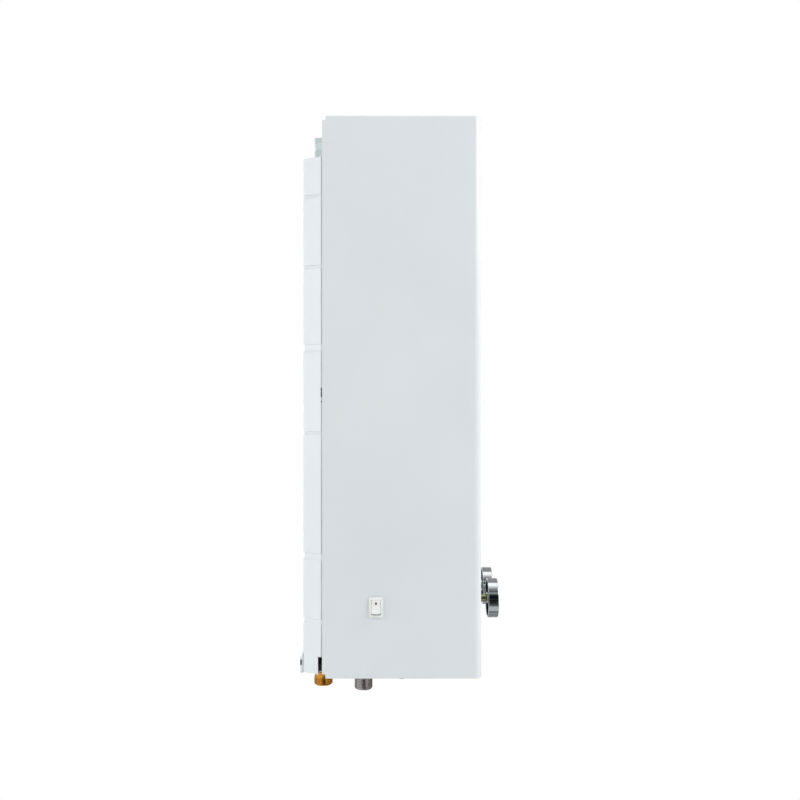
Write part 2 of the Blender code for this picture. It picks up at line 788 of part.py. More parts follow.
def flange_section():
    """Half of the flat flange's section above and below the pan."""
    return [
        (LIP_X, -PAN_DEPTH - LIP_DEEP),
        (LIP_X, FLANGE_Y),
        (LIP_X - LIP_FOLD, FLANGE_Y),
        (HALF - PAN_TAPER, FLANGE_Y),
        (0, FLANGE_Y),
    ]


def offset_chain(points, distance):
    """A chain of (x, y) points moved to its left by a distance, with mitred corners."""
    points = [Vector(point) for point in points]
    lefts = []
    for first, second in zip(points, points[1:]):
        along = (second - first).normalized()
        lefts.append(Vector((-along.y, along.x)))
    moved = [points[0] + lefts[0] * distance]
    for point, before, after in zip(points[1:], lefts, lefts[1:]):
        moved.append(point + (before + after) * distance / (1 + before.dot(after)))
    moved.append(points[-1] + lefts[-1] * distance)
    return moved


def pan_rows():
    """The back plate's rows from the top down: height, half section, and the inner face's shift upwards."""
    sheet = CHASSIS_SHEET
    rows = [(COVER_TOP - FLANGE_DROP, flange_section(), 0), (PAN_TOP, flange_section(), -sheet)]
    rows.append((PAN_TOP - PAN_TOP_SLOPE, pan_section(0), -sheet))
    for lip, valley, foot in reversed(groove_rows()):
        rows.append((lip, pan_section(0), 0))
        rows.append((valley, pan_section(GROOVE_DEEP), 0))
        rows.append((foot, pan_section(0), 0))
    rows.append((PAN_BOTTOM + PAN_BOTTOM_SLOPE, pan_section(0), sheet))
    rows.append((PAN_BOTTOM, flange_section(), sheet))
    rows.append((COVER_BOTTOM + COVER_SHEET + FIT, flange_section(), 0))
    return rows


def back_plate():
    """The pressed back plate: half of it lofted row by row, outer face and inner face, then mirrored."""
    shape = bmesh.new()
    outer, inner = [], []
    for z, section, shift in pan_rows():
        outer.append([shape.verts.new((x, y, z)) for x, y in section])
        moved = offset_chain(section, CHASSIS_SHEET)
        inner.append([shape.verts.new((x, y, z + shift)) for x, y in moved])
    for grid in (outer, inner):
        for upper, lower in zip(grid, grid[1:]):
            for k in range(len(upper) - 1):
                shape.faces.new((upper[k], upper[k + 1], lower[k + 1], lower[k]))
    for k in range(len(outer) - 1):
        shape.faces.new((outer[k][0], outer[k + 1][0], inner[k + 1][0], inner[k][0]))
    for out_row, in_row in ((outer[0], inner[0]), (outer[-1], inner[-1])):
        for k in range(len(out_row) - 1):
            shape.faces.new((out_row[k], out_row[k + 1], in_row[k + 1], in_row[k]))
    bmesh.ops.recalc_face_normals(shape, faces=shape.faces)
    behind = max(shape.faces, key=lambda face: face.calc_center_median().y)
    if behind.normal.y < 0:
        bmesh.ops.reverse_faces(shape, faces=shape.faces)
    plate = add_piece("back_plate", mesh_of(shape, "back_plate"), "white_enamel")
    mirror = plate.modifiers.new("halves", "MIRROR")
    mirror.use_axis[0] = True
    mirror.merge_threshold = WELD

    notches = bmesh.new()
    for side in (-1, 1):
        corner_notches(notches, side)
    boolean(plate, add_cutter("back_plate_notches", mesh_of(notches, "back_plate_notches")))
    holes = bmesh.new()
    low = COVER_BOTTOM - OVERRUN
    for side in (-1, 1):
        inner, outer = side * (HALF - PAN_TAPER), side * (HALF + OVERRUN)
        low_x, high_x = min(inner, outer), max(inner, outer)
        slot_top = COVER_BOTTOM + PAN_SLOT_RISE
        block(holes, (low_x, COVER_REAR, low), (high_x, COVER_REAR + PAN_SLOT_WIDE, slot_top))
        clip_low = COVER_BOTTOM + CLIP_RISE - CLIP_TALL / 2 - FIT
        clip_high = COVER_BOTTOM + CLIP_RISE + CLIP_TALL / 2 + FIT
        clip_rear = COVER_REAR + CLIP_DEEP + FIT
        inner = side * (HALF - CLIP_LONG - FIT)
        low_x, high_x = min(inner, outer), max(inner, outer)
        block(holes, (low_x, COVER_REAR, clip_low), (high_x, clip_rear, clip_high))
        inner = side * (LIP_X - LIP_FOLD)
        low_x, high_x = min(inner, outer), max(inner, outer)
        front, rear = COVER_REAR - LIP_DEEP - OVERRUN, COVER_REAR - NOTCH_DEEP + FIT
        block(holes, (low_x, front, COVER_TOP - NOTCH_TALL), (high_x, rear, COVER_TOP))
        tab_x = side * (HALF - PAN_TAPER - TAB_WIDE / 2)
        middle = COVER_BOTTOM + TAB_LOW_RISE + TAB_TALL / 2
        barrel(holes, (tab_x, -OVERRUN, middle), (tab_x, OVERRUN, middle), TAB_HOLE_RADIUS, SMALL_SIDES)
    hot = around(THREAD_RADIUS + FITTING_HOLE_GAP)
    barrel(holes, (HOT_X, -HOT_SETBACK, low), (HOT_X, -HOT_SETBACK, PAN_BOTTOM + 2 * OVERRUN), hot)
    boolean(plate, add_cutter("back_plate_holes", mesh_of(holes, "back_plate_holes")))


def bottom_plate():
    """The folded plate that closes the casing below and carries the fittings' openings."""
    x = LIP_X - CHASSIS_SHEET - FIT - BOTTOM_SHEET / 2
    rear = FLANGE_INNER_Y - FIT
    front = COVER_FRONT + COVER_EDGE_RADIUS + FIT
    top = PLATE_Z + BOTTOM_FLANGE
    chain = [(-x, front, top), (-x, front, PLATE_Z), (x, front, PLATE_Z), (x, front, top)]
    plate = folded_sheet("bottom_plate", chain, (0, rear - front, 0), BOTTOM_SHEET, "white_enamel")
    holes = bmesh.new()
    low, high = PLATE_Z - OVERRUN, PLATE_Z + OVERRUN
    clear = around(THREAD_RADIUS + FITTING_HOLE_GAP)
    places = [(HOT_X, -HOT_SETBACK), (-KNOB_X, -INLET_SETBACK), (KNOB_X, -INLET_SETBACK)]
    for x, y in places:
        barrel(holes, (x, y, low), (x, y, high), clear)
    cap = around(DRAIN_CAP_RADIUS + FITTING_HOLE_GAP)
    barrel(holes, (KNOB_X, -DRAIN_SETBACK, low), (KNOB_X, -DRAIN_SETBACK, high), cap)
    low_x, high_x, front_y, rear_y = battery_opening()
    block(holes, (low_x, front_y, low), (high_x, rear_y, high))
    slots_x = -HALF + AIR_SLOT_SIDE_GAP
    front_y = COVER_FRONT + AIR_SLOT_FRONT_GAP
    rear_y = front_y + AIR_SLOT_LONG
    for index in range(AIR_SLOT_COUNT):
        x = slots_x + (index - (AIR_SLOT_COUNT - 1) / 2) * AIR_SLOT_PITCH
        slot(holes, (x - AIR_SLOT_WIDE / 2, front_y, low), (x + AIR_SLOT_WIDE / 2, rear_y, high), 2)
    for place in cover_screw_places():
        screw_hole(holes, place, (0, 0, 1), OVERRUN + BOTTOM_SHEET)
    for side in (-1, 1):
        corner_notches(holes, side)
    boolean(plate, add_cutter("bottom_plate_holes", mesh_of(holes, "bottom_plate_holes")))
    for name, place in zip(("cover_screw_left", "cover_screw_right"), cover_screw_places()):
        screw(name, place, (0, 0, 1))


def keyhole(radius, half, drop):
    """A keyhole outline: a round hole below, and a narrower slot up to the origin with a round end."""
    start = math.asin(half / radius)
    outline = []
    for step in range(ROUND_SIDES + 1):
        angle = math.pi / 2 - start - (math.tau - 2 * start) * step / ROUND_SIDES
        outline.append((radius * math.cos(angle), radius * math.sin(angle) - drop))
    for step in range(SMALL_SIDES // 2 + 1):
        angle = math.pi - math.pi * step / (SMALL_SIDES // 2)
        outline.append((half * math.cos(angle), half * math.sin(angle)))
    return outline


def wall_hanger():
    """The galvanised hanger: a channel with feet on the back plate and two keyholes for wall screws."""
    foot_y = FLANGE_Y + FIT + HANGER_SHEET / 2
    rear_y = -HANGER_SHEET / 2
    low = PAN_TOP + HANGER_LOW_GAP
    side = HANGER_HALF - HANGER_SHEET / 2
    foot = HANGER_HALF + HANGER_FOOT
    half = [(side, rear_y, low), (side, foot_y, low), (foot, foot_y, low)]
    chain = [(-x, y, z) for x, y, z in reversed(half)] + half
    hanger = folded_sheet("wall_hanger", chain, (0, 0, HANGER_RISE - low), HANGER_SHEET, "galvanised")
    holes = bmesh.new()
    foot_top = COVER_TOP - FLANGE_DROP
    wide = foot + OVERRUN
    trim = foot_y + HANGER_SHEET / 2 + FIT
    block(holes, (-wide, FLANGE_Y - OVERRUN, foot_top), (wide, trim, HANGER_RISE + OVERRUN))
    boolean(hanger, add_cutter("hanger_trim", mesh_of(holes, "hanger_trim")))
    outline = keyhole(KEYHOLE_RADIUS, KEYHOLE_SLOT_HALF, KEYHOLE_DROP)
    for name, x in (("keyhole_left", -KEYHOLE_X), ("keyhole_right", KEYHOLE_X)):
        tool = add_cutter(name, prism(name, [outline], HANGER_SHEET + 2 * OVERRUN))
        tool.location = (x, rear_y, 0)
        tool.rotation_euler = (math.pi / 2, 0, 0)
        boolean(hanger, tool)


def lower_wall_tabs():
    """The two spacers that hold the heater's foot off the wall, each with its screw hole."""
    for name, side in (("lower_wall_tab_left", -1), ("lower_wall_tab_right", 1)):
        shape = bmesh.new()
        x = side * (HALF - PAN_TAPER - TAB_WIDE / 2)
        low = (x - TAB_WIDE / 2, FIT, COVER_BOTTOM + TAB_LOW_RISE)
        high = (x + TAB_WIDE / 2, TAB_PROUD, COVER_BOTTOM + TAB_LOW_RISE + TAB_TALL)
        rounded_block(shape, low, high, 1, TAB_EDGE)
        for vert in shape.verts:
            if vert.co.z > (low[2] + high[2]) / 2 and vert.co.y > TAB_PROUD / 2:
                vert.co.z -= TAB_TOP_SLOPE
        tab = add_piece(name, mesh_of(shape, name), "white_enamel", smooth=True)
        hole = bmesh.new()
        middle = (low[2] + high[2]) / 2
        barrel(hole, (x, -OVERRUN, middle), (x, TAB_PROUD + OVERRUN, middle), TAB_HOLE_RADIUS, SMALL_SIDES)
        boolean(tab, add_cutter(name + "_hole", mesh_of(hole, name)))


def side_clips():
    """The dark clips in the joint between the cover and the back plate."""
    for name, side in (("side_clip_left", -1), ("side_clip_right", 1)):
        shape = bmesh.new()
        inner, outer = side * (HALF - CLIP_LONG), side * (HALF - FIT)
        z = COVER_BOTTOM + CLIP_RISE
        low = (min(inner, outer), COVER_REAR + FIT, z - CLIP_TALL / 2)
        high = (max(inner, outer), COVER_REAR + CLIP_DEEP, z + CLIP_TALL / 2)
        rounded_block(shape, low, high, 0, FIT, 1)
        add_piece(name, mesh_of(shape, name), "black_plastic")


def window():
    """The burner's viewing window in the cover: its frame and its glass."""
    radius = WINDOW_TALL / 2 - WINDOW_RIM - FIT
    wide, tall = WINDOW_WIDE - 2 * WINDOW_RIM, WINDOW_TALL - 2 * WINDOW_RIM
    outer = rounded_outline(WINDOW_WIDE, WINDOW_TALL, radius + WINDOW_RIM)
    inner = rounded_outline(wide - 2 * FIT, tall - 2 * FIT, radius)
    place = (0, COVER_FRONT - FIT - WINDOW_SHEET / 2, COVER_BOTTOM + WINDOW_RISE)
    frame = add_piece("window_frame", prism("window_frame", [outer, inner], WINDOW_SHEET), "stainless")
    frame.location = place
    frame.rotation_euler = (math.pi / 2, 0, 0)
    glass_outline = rounded_outline(WINDOW_WIDE, WINDOW_TALL, radius + WINDOW_RIM)
    glass = add_piece("window_glass", prism("window_glass", [glass_outline], GLASS_THICK), "glass")
    glass.location = (0, COVER_FRONT + COVER_SHEET + FIT + GLASS_THICK / 2, COVER_BOTTOM + WINDOW_RISE)
    glass.rotation_euler = (math.pi / 2, 0, 0)


def knob_and_spindle(name, x):
    """A chromed knob with a hollow back, and the spindle with its cock that turns with it."""
    axis = bpy.data.objects.new(name + "_axis", None)
    HEATER.objects.link(axis)
    axis.location = (x, KNOB_BACK, KNOB_Z)
    axis.rotation_euler = Vector((0, -1, 0)).to_track_quat("Z", "Y").to_euler()
    crown = KNOB_THICK - KNOB_CROWN
    cavity = KNOB_RADIUS - KNOB_WALL
    bore = around(SPINDLE_RADIUS + FIT)
    bore_end = HUB_BORE
    profile = [
        (0, KNOB_THICK),
        (KNOB_RADIUS - KNOB_EDGE, KNOB_THICK),
        (KNOB_RADIUS - KNOB_EDGE * KNOB_EDGE_SHARE, KNOB_THICK - KNOB_EDGE * KNOB_EDGE_SHARE),
        (KNOB_RADIUS, KNOB_THICK - KNOB_EDGE),
        (KNOB_RADIUS, KNOB_ROOT_RISE),
        (KNOB_RADIUS - KNOB_ROOT_RISE, 0),
        (cavity, 0),
        (cavity, crown),
        (HUB_RADIUS, crown),
        (HUB_RADIUS, 0),
        (bore, 0),
        (bore, bore_end),
        (0, bore_end),
    ]
    knob = turned(name, profile, (0, 0, 0), (0, 0, 1), "chrome", KNOB_SIDES)
    knob.parent = axis
    mark = bmesh.new()
    radius = KNOB_RADIUS - KNOB_EDGE - KNOB_GROOVE_WIDE
    low = (-KNOB_GROOVE_WIDE / 2, radius - KNOB_GROOVE_LONG, KNOB_THICK - KNOB_GROOVE_DEEP)
    slot(mark, low, (KNOB_GROOVE_WIDE / 2, radius, KNOB_THICK + OVERRUN), 2)
    groove = add_cutter(name + "_groove", mesh_of(mark, name + "_groove"))
    groove.parent = axis
    boolean(knob, groove)

    tip = HUB_BORE - FIT
    cock_front = KNOB_BACK + VALVE_FRONT - COCK_INSET
    profile = [
        (0, tip),
        (SPINDLE_RADIUS, tip),
        (SPINDLE_RADIUS, cock_front),
        (COCK_RADIUS, cock_front),
        (COCK_RADIUS, cock_front - COCK_LONG),
        (0, cock_front - COCK_LONG),
    ]
    spindle = turned(name + "_spindle", profile, (0, 0, 0), (0, 0, 1), "grey_steel")
    spindle.parent = axis


def add_gland(body, name, x):
    """Join a hexagonal gland to a valve body, and bore it for the spindle."""
    y = -VALVE_FRONT
    shape = bmesh.new()
    barrel(shape, (x, y + VALVE_ROUND, KNOB_Z), (x, y - GLAND_LONG, KNOB_Z), GLAND_RADIUS, 6)
    boolean(body, add_cutter(name + "_gland", mesh_of(shape, name)), "UNION")
    shape = bmesh.new()
    bore = around(SPINDLE_RADIUS + FIT, SMALL_SIDES)
    barrel(shape, (x, y + GLAND_LONG, KNOB_Z), (x, y - GLAND_LONG - OVERRUN, KNOB_Z), bore, SMALL_SIDES)
    boolean(body, add_cutter(name + "_gland_bore", mesh_of(shape, name)))


def rocker_switch():
    """The rocker switch: bezel with its housing, rocker, red mark and blades."""
    y = COVER_REAR - ROCKER_FORWARD
    z = COVER_BOTTOM + ROCKER_RISE
    face = -HALF - BEZEL_PROUD
    shape = bmesh.new()
    low = (face, y - BEZEL_WIDE / 2, z - BEZEL_TALL / 2)
    rounded_block(shape, low, (-HALF - FIT, y + BEZEL_WIDE / 2, z + BEZEL_TALL / 2), 0, BEZEL_PROUD / 2, 2)
    bezel = add_piece("rocker_bezel", mesh_of(shape, "rocker_bezel"), "white_plastic", smooth=True)
    shape = bmesh.new()
    depth = -HALF + HOUSING_DEEP
    low = (face + BEZEL_PROUD / 2, y - HOUSING_WIDE / 2, z - HOUSING_TALL / 2)
    block(shape, low, (depth, y + HOUSING_WIDE / 2, z + HOUSING_TALL / 2))
    boolean(bezel, add_cutter("rocker_housing", mesh_of(shape, "rocker_housing")), "UNION")
    shape = bmesh.new()
    low = (face - OVERRUN, y - BEZEL_OPENING_WIDE / 2, z - BEZEL_OPENING_TALL / 2)
    high = (depth - HOUSING_FLOOR, y + BEZEL_OPENING_WIDE / 2, z + BEZEL_OPENING_TALL / 2)
    block(shape, low, high)
    boolean(bezel, add_cutter("rocker_well", mesh_of(shape, "rocker_well")))
    shape = bmesh.new()
    for side in (-1, 1):
        blade = z + side * BLADE_SPREAD
        low = (depth - HOUSING_FLOOR / 2, y - BLADE_WIDE / 2, blade - BLADE_THICK / 2)
        block(shape, low, (depth + BLADE_LONG, y + BLADE_WIDE / 2, blade + BLADE_THICK / 2))
    boolean(bezel, add_cutter("switch_blades", mesh_of(shape, "switch_blades")), "UNION")

    axis = bpy.data.objects.new("rocker_axis", None)
    HEATER.objects.link(axis)
    upright = Matrix(((-1, 0, 0), (0, 0, 1), (0, 1, 0)))
    tilt = Matrix.Rotation(ROCKER_TILT, 3, "Z")
    axis.matrix_world = Matrix.Translation((face + ROCKER_PIVOT_DEPTH, y, z)) @ (upright @ tilt).to_4x4()
    corner = math.acos(ROCKER_END_RISE / ROCKER_REACH)
    lowest = math.acos(-ROCKER_BELLY / ROCKER_REACH)
    outline = [(ROCKER_WAIST_RISE, 0)]
    arc = [corner + (lowest - corner) * step / BEND_STEPS for step in range(BEND_STEPS + 1)]
    outline += [(ROCKER_REACH * math.cos(angle), ROCKER_REACH * math.sin(angle)) for angle in arc]
    outline += [(ROCKER_REACH * math.cos(angle), -ROCKER_REACH * math.sin(angle)) for angle in reversed(arc)]
    width = BEZEL_OPENING_WIDE - 2 * ROCKER_SIDE_GAP
    rocker = add_piece("rocker", prism("rocker", [outline], width), "white_plastic")
    rocker.parent = axis
    high = ROCKER_REACH * math.sin(corner)
    slope = math.atan2(ROCKER_END_RISE - ROCKER_WAIST_RISE, high)
    along = high * MARK_SHARE
    out = ROCKER_WAIST_RISE + (ROCKER_END_RISE - ROCKER_WAIST_RISE) * MARK_SHARE
    normal = Vector((math.cos(slope), -math.sin(slope), 0))
    place = Vector((out, along, 0))
    shape = bmesh.new()
    hole = around(MARK_RADIUS + FIT, SMALL_SIDES)
    barrel(shape, place - normal * MARK_DEEP, place + normal * OVERRUN, hole, SMALL_SIDES)
    hole = add_cutter("mark_hole", mesh_of(shape, "mark_hole"))
    hole.parent = axis
    boolean(rocker, hole)
    shape = bmesh.new()
    inner = place - normal * (MARK_DEEP - FIT)
    barrel(shape, inner, place + normal * MARK_PROUD, MARK_RADIUS, SMALL_SIDES)
    mark = add_piece("rocker_mark", mesh_of(shape, "rocker_mark"), "red_plastic", smooth=True)
    mark.parent = axis


def thread(top, low):
    """Profile points down a threaded stretch, from its top height to its low one."""
    count = max(2, round((top - low) / THREAD_PITCH))
    pitch = (top - low) / count
    points = []
    for index in range(count):
        points.append((THREAD_RADIUS - THREAD_DEEP, top - pitch * index))
        points.append((THREAD_RADIUS, top - pitch * (index + 0.5)))
    points.append((THREAD_RADIUS - THREAD_DEEP, low))
    return points


def fittings():
    """The threaded fittings under the casing, the sleeve over the hot one, and the drain plug."""
    for name, x, drop, finish in (
        ("gas_inlet_fitting", -KNOB_X, GAS_END_DROP, "grey_steel"),
        ("cold_inlet_fitting", KNOB_X, COLD_END_DROP, "brass"),
    ):
        end = COVER_BOTTOM - drop
        tall = VALVE_LOW - FIT - end
        profile = [(SHANK_RADIUS, tall), (SHANK_RADIUS, THREAD_LONG)] + thread(THREAD_LONG, 0)[1:]
        profile += [(FITTING_BORE, 0), (FITTING_BORE, tall)]
        turned(name, profile, (x, -INLET_SETBACK, end), (0, 0, 1), finish, FITTING_SIDES, closed=True)
    end = COVER_BOTTOM - HOT_END_DROP
    tall = HOT_END_DROP - HOT_TOP_DROP
    profile = [(SHANK_RADIUS, tall)] + thread(tall - THREAD_PITCH, 0)
    profile += [(FITTING_BORE, 0), (FITTING_BORE, tall)]
    place = (HOT_X, -HOT_SETBACK, end)
    turned("hot_outlet_fitting", profile, place, (0, 0, 1), "brass", FITTING_SIDES, closed=True)
    low = COVER_BOTTOM - HOT_TOP_DROP + FIT
    long = COVER_BOTTOM + SLEEVE_RISE - low
    profile = tube_profile(SLEEVE_RADIUS, SLEEVE_RADIUS - SLEEVE_WALL, long)
    turned("hot_outlet_sleeve", profile, (HOT_X, -HOT_SETBACK, low), (0, 0, 1), "black_rubber", closed=True)
    low = COVER_BOTTOM - DRAIN_DROP
    long = VALVE_LOW - FIT - low
    profile = [(0, long), (DRAIN_RADIUS, long), (DRAIN_RADIUS, DRAIN_CAP_LONG)]
    profile += [(DRAIN_CAP_RADIUS, DRAIN_CAP_LONG), (DRAIN_CAP_RADIUS, 0), (0, 0)]
    turned("drain_plug", profile, (KNOB_X, -DRAIN_SETBACK, low), (0, 0, 1), "red_plastic")


def gas_valve():
    """The gas valve's body, its solenoid and plunger."""
    x = -KNOB_X
    shape = bmesh.new()
    low = (x - GAS_VALVE_HALF, -VALVE_FRONT, VALVE_LOW)
    rounded_block(shape, low, (x + GAS_VALVE_HALF, -VALVE_BACK, VALVE_TOP), 2, VALVE_ROUND, 2)
    body = add_piece("gas_valve_body", mesh_of(shape, "gas_valve_body"), "cast_aluminium", smooth=True)
    add_gland(body, "gas", x)
    passage = around(PASSAGE_RADIUS)
    cock = around(COCK_RADIUS + FIT)
    plunger = around(PLUNGER_RADIUS + FIT)
    cock_start = -VALVE_FRONT + COCK_INSET - FIT
    cock_end = -VALVE_FRONT + COCK_INSET + COCK_LONG + FIT
    inlet_top = COVER_BOTTOM + PASSAGE_TOP_RISE
    plunger_low = COVER_BOTTOM + PLUNGER_LOW_RISE - FIT
    over = VALVE_TOP + OVERRUN
    link_start = (x, -VALVE_FRONT + COCK_LONG, KNOB_Z)
    cuts = (
        ("gas_inlet_bore", (x, -INLET_SETBACK, VALVE_LOW - OVERRUN), (x, -INLET_SETBACK, inlet_top), passage),
        ("gas_rod_bore", (GAS_VALVE_FACE + OVERRUN, -ROD_SETBACK, KNOB_Z),
         (GAS_VALVE_FACE - ROD_PORT_LONG, -ROD_SETBACK, KNOB_Z), around(ROD_PORT_RADIUS)),
        ("gas_cock_bore", (x, cock_start, KNOB_Z), (x, cock_end, KNOB_Z), cock),
        ("gas_outlet_bore", (x, -OUTLET_SETBACK, KNOB_Z), (x, -OUTLET_SETBACK, over), passage),
        ("gas_link_bore", link_start, (x, -INLET_SETBACK, KNOB_Z), PASSAGE_RADIUS / 2),
        ("plunger_bore", (x, -SOLENOID_SETBACK, plunger_low), (x, -SOLENOID_SETBACK, over), plunger),
    )
    for name, start, end, radius in cuts:
        tool = bmesh.new()
        barrel(tool, start, end, radius)
        boolean(body, add_cutter(name, mesh_of(tool, name)))
    inner = around(PLUNGER_RADIUS + FIT)
    top = SOLENOID_TALL - SOLENOID_CAP
    profile = [
        (0, SOLENOID_TALL),
        (SOLENOID_RADIUS, SOLENOID_TALL),
        (SOLENOID_RADIUS, 0),
        (inner, 0),
        (inner, top),
        (0, top),
    ]
    place = (x, -SOLENOID_SETBACK, VALVE_TOP + FIT)
    turned("solenoid_coil", profile, place, (0, 0, 1), "black_plastic")
    long = VALVE_TOP + FIT + top - PLUNGER_HEAD_ROOM - PLUNGER_TRAVEL - COVER_BOTTOM - PLUNGER_LOW_RISE
    profile = [(0, long), (PLUNGER_RADIUS, long), (PLUNGER_RADIUS, 0), (0, 0)]
    place = (x, -SOLENOID_SETBACK, COVER_BOTTOM + PLUNGER_LOW_RISE)
    turned("solenoid_plunger", profile, place, (0, 0, 1), "grey_steel")


def water_valve():
    """The water valve's body with its diaphragm flange."""
    x = KNOB_X
    left = x - WATER_VALVE_LEFT
    shape = bmesh.new()
    low = (left, -VALVE_FRONT, VALVE_LOW)
    rounded_block(shape, low, (x + WATER_VALVE_RIGHT, -VALVE_BACK, VALVE_TOP), 2, VALVE_ROUND, 2)
    body = add_piece("water_valve_body", mesh_of(shape, "water_valve_body"), "brass", smooth=True)
    flange = bmesh.new()
    start = (left + VALVE_ROUND, -ROD_SETBACK, KNOB_Z)
    barrel(flange, start, (left - FLANGE_THICK, -ROD_SETBACK, KNOB_Z), DIAPHRAGM_RADIUS, KNOB_SIDES // 2)
    boolean(body, add_cutter("water_flange", mesh_of(flange, "water_flange")), "UNION")
    add_gland(body, "water", x)
    passage = around(PASSAGE_RADIUS)
    cock_start = -VALVE_FRONT + COCK_INSET - FIT
    cock_end = -VALVE_FRONT + COCK_INSET + COCK_LONG + FIT
    inlet_top = COVER_BOTTOM + PASSAGE_TOP_RISE
    chamber_end = left - FLANGE_THICK + CHAMBER_DEEP
    under = VALVE_LOW - OVERRUN
    over = VALVE_TOP + OVERRUN
    port_start = (chamber_end - OVERRUN, -ROD_SETBACK, KNOB_Z)
    link_start = (x, -VALVE_FRONT + COCK_LONG, KNOB_Z)
    cuts = (
        ("water_inlet_bore", (x, -INLET_SETBACK, under), (x, -INLET_SETBACK, inlet_top), passage),
        ("water_chamber", (left - FLANGE_THICK - OVERRUN, -ROD_SETBACK, KNOB_Z),
         (chamber_end, -ROD_SETBACK, KNOB_Z), CHAMBER_RADIUS),
        ("water_port", port_start, (x, -ROD_SETBACK, KNOB_Z), PASSAGE_RADIUS / 2),
        ("water_cock_bore", (x, cock_start, KNOB_Z), (x, cock_end, KNOB_Z), around(COCK_RADIUS + FIT)),
        ("water_outlet_bore", (x, -OUTLET_SETBACK, KNOB_Z), (x, -OUTLET_SETBACK, over), passage),
        ("water_link_bore", link_start, (x, -INLET_SETBACK, KNOB_Z), PASSAGE_RADIUS / 2),
    )
    for name, start, end, radius in cuts:
        tool = bmesh.new()
        barrel(tool, start, end, radius)
        boolean(body, add_cutter(name, mesh_of(tool, name)))


